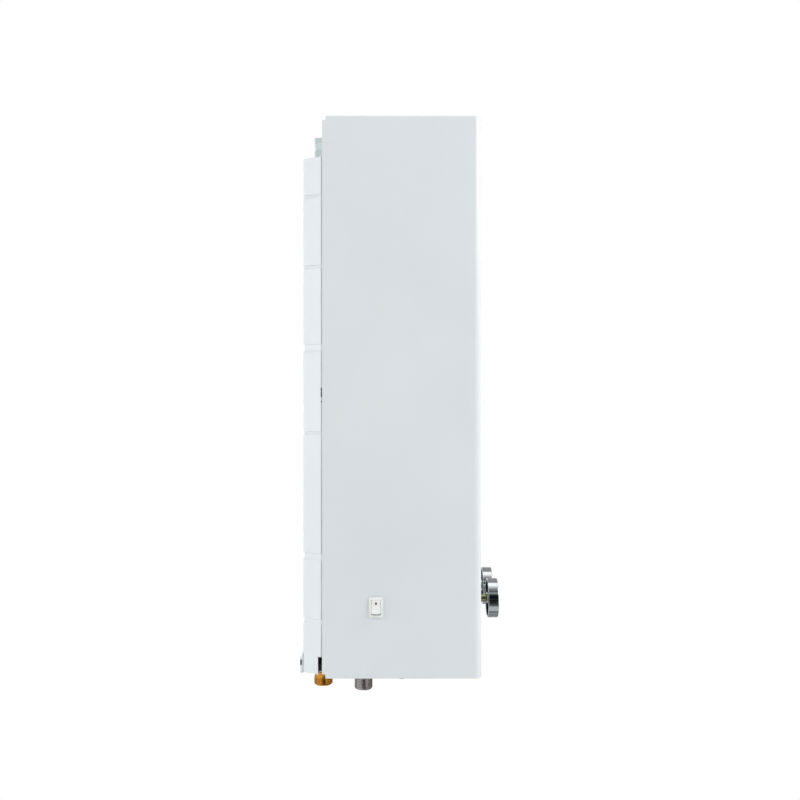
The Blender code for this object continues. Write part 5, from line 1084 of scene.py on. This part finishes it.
@dataclass
class BackPlate:
    """The enamelled back plate: a shallow pan pressed from one sheet, with grooves across it."""

    case: Case
    sheet: float = 0.0008
    taper: float = 0.012
    corner: float = 0.0022
    rim_gap: float = 0.001
    flange_inset: float = 0.0004
    lip_gap: float = 0.0014
    lip_deep: float = 0.014
    fold: float = 0.001
    foot_rise: float = 0.0023
    flange_drop: float = 0.0015
    top_draft: Pairs = ((0.0, 0.0), (0.0006, 0.95), (0.001, 0.985), (0.0017, 1.0))
    foot_draft: Pairs = ((0.0, 0.0), (0.001, 0.87), (0.0012, 0.95), (0.0017, 1.0))
    groove: float = 0.0012
    groove_land: float = 0.0012
    groove_lip: float = 0.0005
    groove_rise: float = 0.0026
    groove_round: float = 0.0003
    grooves: Pairs = (
        (0.0989, 0.0066), (0.2144, 0.0083), (0.4356, 0.0041), (0.587, 0.0087), (0.7323, 0.0041),
        (0.8589, 0.0039),
    )
    slot_rise: float = 0.022
    clip_gaps: Pairs = ((0.0041, 0.0077), (-0.0021, 0.0036), (-0.0077, -0.0061))
    clip_wide: float = 0.0013
    clip_long: float = 0.0083
    tab_rise: float = 0.01305
    hot_at: Pair = (-0.058, -0.0129)
    hot_hole: float = 0.0111

    def build(self) -> None:
        """Press the plate and cut its openings."""
        rows = []
        for z, share, inset, shift in self.rows():
            half = self.section(share, inset)
            rows.append((half + [Vector((-point.x, point.y)) for point in reversed(half[:-1])], z, shift))
        place("back_pan", sheet(rows, self.sheet), "back_plate", cuts=[self.case.notches(), self.openings()])

    def section(self, share: float, inset: float) -> list[Vector]:
        """Half of the plate's section, from its side lip to its middle.

        Args:
            share: 0 for the flat flange, 1 for the full pan.
            inset: how far the pan is drawn in, as in a groove.

        Returns:
            Flat points, from the side inwards.
        """
        case = self.case
        lip_x, flange_y = case.half - self.lip_gap, case.rear - self.flange_inset
        rim, shoulder = case.half - HAIR, case.half - self.taper
        pan = bend([
            (lip_x, flange_y), (rim - inset, case.rear + self.rim_gap), (shoulder - inset, -inset),
            (0.0, -inset),
        ], self.corner)[1:]
        last = len(pan) - 2
        flat = [Vector((lip_x - self.fold - (lip_x - self.fold - shoulder) * k / last, flange_y))
                for k in range(len(pan) - 1)] + [Vector((0.0, flange_y))]
        lip = [Vector((lip_x, case.rear - self.lip_deep)), Vector((lip_x, flange_y))]
        return lip + [low.lerp(high, share) for low, high in zip(flat, pan)]

    def rows(self) -> list[tuple[float, float, float, float]]:
        """The plate's rows from the top down.

        Returns:
            For each row its height, its share of the pan, its inset and the shift of its inner face.
        """
        case = self.case
        top, foot = case.top - case.pan_drop, case.rise(self.foot_rise)
        rows = [(case.top - self.flange_drop, 0.0, 0.0, 0.0)]
        rows += [(top - drop, share, 0.0, -self.sheet) for drop, share in self.top_draft]
        for centre, tall in reversed(self.grooves):
            high = case.rise((case.top - case.bottom) * centre + tall / 2)
            low = high - tall
            path = bend([
                (high + self.groove_land, 0.0), (high, 0.0), (high - self.groove_lip, self.groove),
                (low + self.groove_rise, self.groove), (low, 0.0), (low - self.groove_land, 0.0),
            ], self.groove_round, 3)
            rows += [(z, 1.0, inset, 0.0) for z, inset in path]
        rows += [(foot + lift, share, 0.0, self.sheet) for lift, share in reversed(self.foot_draft)]
        return rows + [(case.bottom + self.sheet + HAIR, 0.0, 0.0, 0.0)]

    def openings(self) -> Shape:
        """Everything cut from the plate.

        Returns:
            The cutters as one shape.
        """
        case, holes = self.case, bmesh.new()
        low, outer = case.bottom - OVERRUN, case.half + OVERRUN
        for side in Side:
            left, right = side.span(case.half - self.taper, outer)
            high = case.rise(self.slot_rise)
            block(holes, (left, case.rear, low), (right, case.rear + case.slot_wide, high))
            z = case.rise(case.clip_rise)
            left, right = side.span(case.half - self.clip_long, outer)
            for under, over in self.clip_gaps:
                block(holes, (left, case.rear, z + under), (right, case.rear + self.clip_wide, z + over))
            left, right = side.span(case.half - self.lip_gap - self.fold, outer)
            block(holes, (left, case.rear - self.lip_deep - OVERRUN, case.top - case.notch[2]),
                  (right, case.rear - case.notch[1] + HAIR, case.top))
            x, z = side.value * case.tab_x, case.rise(self.tab_rise)
            barrel(holes, (x, -OVERRUN, z), (x, OVERRUN, z), case.tab_hole)
        x, y = self.hot_at
        barrel(holes, (x, y, low), (x, y, case.rise(self.foot_rise) + 2 * OVERRUN), self.hot_hole)
        return holes


@dataclass
class Hanger:
    """The galvanised hanger: a folded channel with feet on the back plate and a keyhole for each screw."""

    case: Case
    half: float = 0.030
    foot: float = 0.012
    sheet: float = 0.0012
    bend_radius: float = 0.0016
    flange_gap: float = 0.0001
    rise: float = 0.011
    low_gap: float = 0.0025
    trim_drop: float = 0.0015
    key_x: float = 0.017
    key_radius: float = 0.005
    key_half: float = 0.0026
    key_drop: float = 0.011
    crease: float = 0.0006

    def build(self) -> None:
        """Fold the channel and punch it."""
        foot_y = self.case.rear - self.flange_gap + self.sheet
        low, side, foot = self.case.top - self.case.pan_drop + self.low_gap, self.half, self.half + self.foot
        chain = [(-foot, foot_y), (-side, foot_y), (-side, 0.0), (side, 0.0), (side, foot_y), (foot, foot_y)]
        crease = self.crease
        flat = bend(chain, self.bend_radius, 5)
        pressed = bend([(x + math.copysign(crease / 2, x), y) for x, y in chain], self.bend_radius, 5)
        rows = ((flat, self.rise), (flat, 2 * crease), (pressed, 0.0), (flat, -crease / 3), (flat, low))
        shape = sheet([(line, z, 0.0) for line, z in rows], -self.sheet)
        place("hanger_channel", shape, "wall_hanger", cuts=self.openings(foot_y))

    def openings(self, foot_y: float) -> tuple[Shape, Shape]:
        """The keyholes with the trim above the feet, and the keyholes' slots.

        Args:
            foot_y: the rear face of the feet.

        Returns:
            The two shapes to cut, one after the other.
        """
        wide = self.half + self.foot + OVERRUN
        holes, slots = bmesh.new(), bmesh.new()
        block(holes, (-wide, foot_y - self.sheet - OVERRUN, self.case.top - self.trim_drop),
              (wide, foot_y + HAIR, self.rise + OVERRUN))
        for side in Side:
            x = side.value * self.key_x
            barrel(holes, (x, -2 * OVERRUN, -self.key_drop), (x, OVERRUN, -self.key_drop), self.key_radius)
            low = (x - self.key_half, -2 * OVERRUN, -self.key_drop)
            hollow(slots, low, (x + self.key_half, OVERRUN, self.key_half), Y)
        return holes, slots


@dataclass
class LowerTabs:
    """The two enamelled spacers at the foot, each with a grey-green rubber bumper on its outer edge."""

    case: Case
    wide: float = 0.024
    seat: float = 0.00005
    proud: float = 0.003
    low_rise: float = 0.002
    tall: float = 0.0221
    slope: float = 0.005
    edge: float = 0.002
    brim: Pairs = ((0.0, 0.0009), (0.00025, HAIR), (0.0009, 0.0))
    bumper: Triple = (0.0016, 0.0056, 0.0113)
    bumper_reach: Pair = (0.001, HAIR)
    bumper_edge: float = 0.0006

    def build(self) -> None:
        """Make both spacers with their bumpers."""
        for side in Side:
            x = side.value * self.case.tab_x
            low, high = self.case.rise(self.low_rise), self.case.rise(self.low_rise + self.tall)
            outline = box_outline(self.wide, self.tall, self.edge)
            middle = (low + high) / 2
            rows = []
            for shrink, y in ((0.0, self.seat), *((shrink, self.proud - down) for shrink, down in self.brim)):
                wide, tall = 1 - 2 * shrink / self.wide, 1 - 2 * shrink / self.tall
                fall = self.slope * (y - self.seat) / (self.proud - self.seat)
                rows.append([(x + p.x * wide, y, middle + p.y * tall - (fall if p.y > 0 else 0.0))
                             for p in outline])
            holes, pad = bmesh.new(), bmesh.new()
            barrel(holes, (x, -OVERRUN, middle), (x, self.proud + OVERRUN, middle), self.case.tab_hole)
            place(f"tab_spacer_{side.word}", skin(rows), f"lower_wall_tab_{side.word}", cuts=[holes])
            outer = self.case.tab_x + self.wide / 2
            left, right = side.span(outer - self.bumper_reach[0], outer + self.bumper_reach[1])
            deep, tall, lift = self.bumper
            z = low + lift
            low, high = (left, self.proud - deep, z - tall / 2), (right, self.proud, z + tall / 2)
            block(pad, low, high, X, self.bumper_edge, 4)
            place(f"tab_bumper_{side.word}", pad, slot="rubber", finish=PAD_RUBBER)


@dataclass
class Clips:
    """The dark clips in the seam between the cover and the back plate, which show through short gaps."""

    case: Case
    tall: float = 0.014
    deep: float = 0.0017
    long: float = 0.008
    inset: float = 0.0022
    edge: float = 0.0005
    teeth: Pairs = ((0.0043, 0.007), (-0.0019, 0.0034), (-0.007, -0.0063))
    tooth_deep: Pair = (0.0001, 0.0009)
    tooth_edge: float = 0.0002

    def build(self) -> None:
        """Make both clips, each with three teeth."""
        near, far = self.tooth_deep
        for side in Side:
            shape = bmesh.new()
            outer = self.case.half - HAIR
            left, right = side.span(self.case.half - self.long, outer - self.inset)
            z, y = self.case.rise(self.case.clip_rise), self.case.rear + HAIR
            low, high = z - self.tall / 2, z + self.tall / 2
            block(shape, (left, y, low), (right, y + self.deep, high), X, self.edge, 3)
            left, right = side.span(outer - self.inset - self.tooth_edge, outer)
            for under, over in self.teeth:
                block(shape, (left, y + near, z + under), (right, y + far, z + over), X, self.tooth_edge, 2)
            place(f"seam_clip_{side.word}", shape, f"side_clip_{side.word}")


@dataclass
class Screws:
    """The pan-head screws that hold the cover to the bottom plate, with crossed recesses."""

    case: Case
    head: float = 0.0035
    tall: float = 0.0007
    seat: float = 0.0014
    shank: float = 0.0015
    long: float = 0.006
    tip: float = 0.001
    edge: float = 0.0002
    dome: Triple = (0.62, 0.98, 0.4)
    recess: Triple = (0.0007, 0.0032, 0.0004)

    def build(self) -> None:
        """Make both screws."""
        out, crown, rim = self.dome
        profile = bend([
            (0.0, -self.tall), (self.head * out, -self.tall * crown), (self.head, -self.tall * rim),
            (self.head, 0.0), (self.shank, 0.0), (self.shank, self.long - self.tip), (0.0, self.long),
        ], self.edge, 5)
        wide, span, deep = self.recess
        for side in Side:
            bars = [bmesh.new(), bmesh.new()]
            for bar, x, y in ((bars[0], span / 2, wide / 2), (bars[1], wide / 2, span / 2)):
                block(bar, (-x, -y, -self.tall - OVERRUN), (x, y, deep - self.tall))
            node = f"cover_screw_{side.word}"
            x, y = self.case.screw_at
            spot = Matrix.Translation((side.value * x, y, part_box(node)[0].z + self.seat))
            place(f"pan_head_screw_{side.word}", spin(profile, ROUND), node, matrix=spot, cuts=bars)


@dataclass
class Window:
    """The burner's sight window: a pressed stainless frame over a smoked glass."""

    wide: float = 0.064
    tall: float = 0.026
    rim: float = 0.004
    edge: float = 0.0005
    soft_share: float = 0.3
    glass_share: float = 0.99

    def build(self) -> None:
        """Make the frame and the glass."""
        low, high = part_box("window_frame")
        rim, edge, soft = self.rim, self.edge, self.edge * self.soft_share
        rows = []
        for grow, y in (
            (0.0, high.y), (0.0, low.y + edge), (soft, low.y + soft), (edge, low.y), (rim - edge, low.y),
            (rim - soft, low.y + soft), (rim, low.y + edge), (rim, high.y),
        ):
            outline = box_outline(self.wide - 2 * grow, self.tall - 2 * grow, self.tall / 2 - grow)
            rows.append([(p.x, y, (low.z + high.z) / 2 + p.y) for p in outline])
        place("window_bezel", skin([*rows, rows[0]], capped=False), "window_frame")
        low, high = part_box("window_glass")
        outline, small = box_outline(self.wide, self.tall, self.tall / 2), self.glass_share
        rows = [[(p.x * s, y, (low.z + high.z) / 2 + p.y * s) for p in outline]
                for s, y in ((small, low.y), (1.0, low.y + HAIR), (1.0, high.y - HAIR), (small, high.y))]
        place("sight_glass", skin(rows), "window_glass")


@dataclass
class Knob:
    """A chromed control knob with a hollow back and an index groove near its rim."""

    name: str
    radius: float = 0.02235
    wall: float = 0.0016
    crown: float = 0.0022
    edge: float = 0.0009
    inner_edge: float = 0.0004
    dish: float = 0.0004
    dish_share: Pair = (0.72, 0.80)
    hub: float = 0.0065
    bore: float = 0.0043
    bore_deep: float = 0.0075
    groove: Triple = (0.0016, 0.009, 0.0008)
    groove_gap: float = 0.0006

    def build(self) -> None:
        """Turn the knob, cut its groove and set it on its spindle."""
        low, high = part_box(self.name)
        radius, thick, cavity = self.radius, high.y - low.y, self.radius - self.wall
        flat, slope = self.dish_share
        profile = [(0.0, thick - self.dish), (radius * flat, thick - self.dish)]
        profile += bend([(radius * slope, thick), (radius, thick), (radius, thick / 2)], self.edge, 8)[:-1]
        profile += bend([
            (radius, thick / 2), (radius, 0.0), (cavity, 0.0), (cavity, thick - self.crown),
            (self.hub, thick - self.crown), (self.hub, 0.0), (self.bore, 0.0), (self.bore, self.bore_deep),
            (0.0, self.bore_deep),
        ], self.inner_edge, 3)[1:]
        holes = bmesh.new()
        wide, long, deep = self.groove
        rim = radius - self.edge - self.groove_gap
        hollow(holes, (-wide / 2, rim - long, thick - deep), (wide / 2, rim, thick + OVERRUN), Z)
        facing = Matrix.Translation(((low.x + high.x) / 2, high.y, (low.z + high.z) / 2)) @ Matrix((
            (1, 0, 0, 0), (0, 0, -1, 0), (0, 1, 0, 0), (0, 0, 0, 1),
        ))
        place(self.name + "_chrome", spin(profile), self.name, body=self.name, matrix=facing, cuts=[holes])


@dataclass
class Rocker:
    """The rocker switch in the left side: moulded bezel with a raised inner frame, rocker and red dot."""

    case: Case
    wide: float = 0.015
    tall: float = 0.021
    proud: float = 0.002
    well: Pair = (0.0098, 0.0162)
    mouth: Triple = (0.0097, 0.0151, 0.0003)
    mouth_deep: Triple = (0.0002, 0.0005, 0.0006)
    corners: Triple = (0.0006, 0.0005, 0.0004)
    brim: tuple[Triple, ...] = (
        (0.0, 0.0009, 0.0014), (0.0002, 0.0006, 0.0014), (0.0008, 0.0004, 0.0012),
        (0.0030, 0.0004, 0.0006), (0.0032, HAIR, 0.0006), (0.0034, 0.0, 0.0006),
    )
    housing: Pair = (0.0128, 0.0188)
    deep: float = 0.014
    floor: float = 0.002
    blade: Four = (0.0048, 0.0008, 0.008, 0.0035)
    blade_edge: float = 0.0002
    pivot_deep: float = 0.0034
    reach: float = 0.0078
    end_rise: float = 0.0042
    waist: float = 0.0034
    waist_dip: Pair = (0.00002, 0.0005)
    belly: float = 0.004
    side_gap: float = 0.0003
    rim_edge: float = 0.00035
    tilt: float = math.radians(8)
    arc_steps: int = 10
    mark: float = 0.0011
    mark_gap: float = 0.0001
    mark_share: float = 0.52
    mark_hole: float = 0.0008
    mark_tall: Pair = (0.0006, 0.0007)

    def build(self) -> None:
        """Make the bezel, the rocker and its dot."""
        self.face = -self.case.half - self.proud
        self.y, self.z = self.case.switch_at[0], self.case.rise(self.case.switch_at[1])
        self.bezel()
        self.lever()

    def bezel(self) -> None:
        """The moulded body: housing behind the panel, flange on it, and the well that the rocker sits in."""
        panel, face = -self.case.half - HAIR, self.face
        inside = -self.case.half + self.deep
        w, t = self.wide, self.tall
        around = (self.mouth[0] + HAIR, self.mouth[1] + HAIR, self.mouth[2])
        outer, lip, inner = self.corners
        first, second, third = self.mouth_deep
        steps = [(self.housing, x, outer) for x in (inside, panel)] + [((w, t), panel, self.brim[0][2])]
        steps += [((w - trim, t - trim), face + lift, corner) for trim, lift, corner in self.brim]
        steps += [(around, face, lip), (self.mouth, face + first, inner), (self.mouth, face + second, inner),
                  (self.well, face + third, inner), (self.well, inside - self.floor, inner)]
        body = skin([
            [(x, self.y + p.x, self.z - sum(drop) + p.y) for p in box_outline(wide, tall, radius, 4)]
            for (wide, tall, *drop), x, radius in steps
        ])
        wide, thick, long, spread = self.blade
        for side in Side:
            z = self.z + side.value * spread
            block(body, (inside - self.blade_edge, self.y - wide / 2, z - thick / 2),
                  (inside + long, self.y + wide / 2, z + thick / 2), X, self.blade_edge, 2)
        place("rocker_frame", body, "rocker_bezel")

    def lever(self) -> None:
        """The rocker itself, pressed in at its top, with a red dot let into that end."""
        corner = math.acos(self.end_rise / self.reach)
        lowest = math.acos(-self.belly / self.reach)
        arc = [corner + (lowest - corner) * k / self.arc_steps for k in range(self.arc_steps + 1)]
        bulge, dip = self.waist_dip
        outline = [(self.waist, 0.0), (self.waist + bulge, dip)]
        outline += [(self.reach * math.cos(a), self.reach * math.sin(a)) for a in arc]
        outline += [(self.reach * math.cos(a), -self.reach * math.sin(a)) for a in reversed(arc)]
        outline += [(self.waist + bulge, -dip)]
        width = (self.well[0] - 2 * self.side_gap) / 2
        shape = skin([[(x, y, z) for x, y in outline] for z in (-width, width)])
        rim = [edge for edge in shape.edges if abs(abs(edge.verts[0].co.z) - width) < TINY
               and abs(edge.verts[0].co.z - edge.verts[1].co.z) < TINY]
        rounded(shape, rim, self.rim_edge, 3)
        upright = Matrix(((-1, 0, 0), (0, 0, 1), (0, 1, 0))) @ Matrix.Rotation(self.tilt, 3, "Z")
        spot = Matrix.Translation((self.face + self.pivot_deep, self.y, self.z)) @ upright.to_4x4()
        high = self.reach * math.sin(corner)
        slope = math.atan2(self.end_rise - self.waist, high)
        share = self.mark_share
        centre = Vector((self.waist + (self.end_rise - self.waist) * share, high * share, 0.0))
        normal = Vector((math.cos(slope), -math.sin(slope), 0.0))
        holes, outer = bmesh.new(), self.mark + self.mark_gap
        barrel(holes, centre - normal * self.mark_hole, centre + normal * OVERRUN, outer, COARSE)
        place("rocker_lever", shape, "rocker", body="rocker", matrix=spot, cuts=[holes])
        tall, crown = self.mark_tall
        profile = bend([(0.0, crown), (self.mark, tall), (self.mark, 0.0)], HAIR, 4) + [(0.0, 0.0)]
        seat = aim(centre - normal * tall, normal)
        place("rocker_dot", spin(profile, COARSE), "rocker_mark", body="rocker", matrix=spot @ seat)


def stand(node: str) -> tuple[Matrix, float]:
    """Find where a CAD node stands.

    Args:
        node: its name.

    Returns:
        The transform to the middle of its underside, and its height.
    """
    low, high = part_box(node)
    centre = (low + high) / 2
    return Matrix.Translation((centre.x, centre.y, low.z)), high.z - low.z


@dataclass
class PipeEnd:
    """A threaded pipe end under the case: a turned shoulder over a G1/2 thread cut as a true helix."""

    node: str
    thread_long: float = 0.0145
    radius: float = 0.0105
    pitch: float = 0.001814
    deep: float = 0.0006
    shank: float = 0.009
    bore: float = 0.0065
    bore_edge: float = 0.0008
    sides: int = 72
    turn_steps: int = 12
    shoulder: float = 0.0
    neck: float = 0.0082
    crown: float = 0.0
    crest: Pair = (0.65, 1.3)
    lead_in: float = 0.0014
    run_out: float = 0.0016
    relief: float = 0.0004

    def build(self) -> None:
        """Cut the thread and add the shank, the shoulder and the bore."""
        spot, tall = stand(self.node)
        long, bore, edge = self.thread_long, self.bore, self.bore_edge
        count = int(long / self.pitch * self.turn_steps)
        below = [(bore, tall + self.crown), (bore, edge), (bore + edge, 0.0)]
        above = [(self.shank, long + self.deep), (self.shank, tall)]
        if self.shoulder:
            above = [(self.radius - self.deep, long + self.relief),
                     (self.radius - self.relief, tall - self.shoulder), (self.neck, tall + self.crown)]
        rings = turned(below, self.sides)
        for k in range(count + 1):
            z = long * k / count
            rings.append(ring(z, self.sides, partial(self.flank, z)))
        rings += turned(above, self.sides) + rings[:1]
        place(self.node + "_turned", skin(rings, capped=False), self.node, matrix=spot)

    def flank(self, height: float, angle: float) -> float:
        """The thread's shape, with a lead-in below and a run-out above.

        Args:
            height: the height over the thread's end.
            angle: the angle round it.

        Returns:
            The radius there.
        """
        wave = math.cos(math.tau * (height / self.pitch - angle / math.tau))
        crest = min(1.0, max(0.0, self.crest[0] + self.crest[1] * wave))
        root = self.radius - self.deep
        entry = root - self.relief + (self.deep + self.relief) * min(1.0, height / self.lead_in)
        leave = min(1.0, (self.thread_long - height) / self.run_out)
        return min(root + self.deep * crest * leave, max(entry, root - self.relief))


@dataclass
class Sleeve:
    """The black rubber sleeve that the hot outlet leaves the case through, with a rolled lower bead."""

    radius: float = 0.0092
    wall: float = 0.0018
    bead: float = 0.0009
    bead_share: float = 0.6
    foot: float = 0.0018
    bead_tall: Pair = (0.0032, 0.004)
    edge: float = 0.0006

    def build(self) -> None:
        """Make the sleeve."""
        spot, tall = stand("hot_outlet_sleeve")
        foot, outer, inner = self.foot, self.radius, self.radius - self.wall
        slim, (full, end) = outer - self.bead * self.bead_share, self.bead_tall
        profile = bend([
            (slim, tall), (slim, foot + end), (outer, foot + full), (outer, foot), (inner, foot),
            (inner, tall), (slim, tall),
        ], self.edge, 4)
        place("outlet_sleeve", spin(profile), "hot_outlet_sleeve", matrix=spot)


@dataclass
class DrainPlug:
    """The red moulded drain plug, with a fluted grip and a coin slot."""

    cap: float = 0.009
    cap_long: float = 0.007
    stem: float = 0.006
    sides: int = 216
    flutes: int = 18
    flute_deep: float = 0.0006
    lower: tuple[Triple, ...] = ((0.0012, 0.0, 0.0), (0.0004, HAIR, 0.4), (0.0, 0.0010, 1.0))
    upper: tuple[Triple, ...] = ((0.0, 0.0016, 1.0), (0.0002, 0.0008, 0.3), (0.0006, 0.0, 0.0))
    slot: Triple = (0.62, 0.0016, 0.0016)

    def build(self) -> None:
        """Mould the plug."""
        spot, tall = stand("drain_plug")
        cap, long = self.cap, self.cap_long
        steps = [(cap - trim, lift, share) for trim, lift, share in self.lower]
        steps += [(cap - trim, long - drop, share) for trim, drop, share in self.upper]
        steps += [(self.stem, long, 0.0), (self.stem, tall, 0.0)]
        rows = [ring(z, self.sides, partial(self.grip, base, share)) for base, z, share in steps]
        share, wide, deep = self.slot
        holes = bmesh.new()
        block(holes, (-cap * share, -wide / 2, -OVERRUN), (cap * share, wide / 2, deep))
        place("drain_plug_grip", skin(rows), "drain_plug", cuts=[holes], matrix=spot)

    def grip(self, base: float, share: float, angle: float) -> float:
        """The radius at an angle, with the flutes cut to a share of their depth."""
        return base - self.flute_deep * share * max(0.0, math.cos(self.flutes * angle)) ** 2


@dataclass
class BatteryDoor:
    """The moulded battery door in the foot of the case: hinge barrel behind, ribbed finger scoop in front."""

    hinge: float = 0.0016
    thick: float = 0.0018
    corner: float = 0.0015
    brim: Pairs = ((0.0, 0.0005), (0.00015, 0.00015), (0.0005, 0.0))
    half: float = 0.03
    rib: Triple = (0.022, 0.0012, 0.0005)
    rib_start: float = 0.004
    rib_pitch: float = 0.0028
    ribs: int = 4

    def build(self) -> None:
        """Mould the door."""
        low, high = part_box("battery_door")
        top, rear = high.z - self.hinge + self.thick / 2, high.y - self.hinge
        under, axle = top - self.thick, top - self.thick / 2
        corners = [(low.x, low.y), (high.x, low.y), (high.x, rear), (low.x, rear)]
        outline = bend(corners, self.corner, looped=True)
        centre = Vector(((low.x + high.x) / 2, (low.y + rear) / 2))
        rows = []
        for shrink, z in ((0.0, top), *((shrink, under + lift) for shrink, lift in self.brim)):
            share = 1 - shrink / self.half
            rows.append([(centre.x + (p.x - centre.x) * share, centre.y + (p.y - centre.y) * share, z)
                         for p in outline])
        shape, holes = skin(rows), bmesh.new()
        barrel(shape, (low.x, rear, axle), (high.x, rear, axle), self.hinge)
        wide, thin, deep = self.rib
        for k in range(self.ribs):
            y = low.y + self.rib_start + k * self.rib_pitch
            block(holes, (centre.x - wide / 2, y - thin / 2, under - OVERRUN),
                  (centre.x + wide / 2, y + thin / 2, under + deep), Z, deep, 4)
        place("battery_flap", shape, "battery_door", body="battery_door", cuts=[holes])


@dataclass
class Inside:
    """The pieces that keep their CAD shape, mostly behind the cover: each gets its real finish."""

    special: ClassVar[dict[str, Finish]] = {
        "burner_bars": STAINLESS, "return_spring": SPRING_STEEL, "gas_knob_spindle": SPINDLE,
        "water_knob_spindle": SPINDLE,
    }

    def build(self) -> None:
        """Dress every CAD node that still shows."""
        for name, node in sorted(frame["nodes"].items()):
            if not node.hide_render:
                finish = self.special.get(name, FINISHES[SLOTS[name]])
                dress(node, finish)
                LOG.info("%s: CAD shape, dressed as %s", name, finish.name)


def main() -> None:
    """Build the studio, then the heater from the case inwards."""
    logging.basicConfig(level=logging.INFO, format="%(name)s: %(message)s")
    Studio().build()
    case = Case()
    for assembly in (
        Cover(case), BackPlate(case), Hanger(case), LowerTabs(case), Clips(case), Screws(case), Window(),
        Knob("gas_knob"), Knob("water_knob"), Rocker(case), PipeEnd("gas_inlet_fitting"),
        PipeEnd("cold_inlet_fitting"),
        PipeEnd("hot_outlet_fitting", thread_long=0.0098, shoulder=0.0016, crown=0.0018),
        Sleeve(), DrainPlug(), BatteryDoor(), Inside(),
    ):
        assembly.build()
    bpy.context.view_layer.update()
    scene = bpy.context.scene
    scene.view_settings.view_transform = "Standard"


if __name__ == "__main__":
    main()
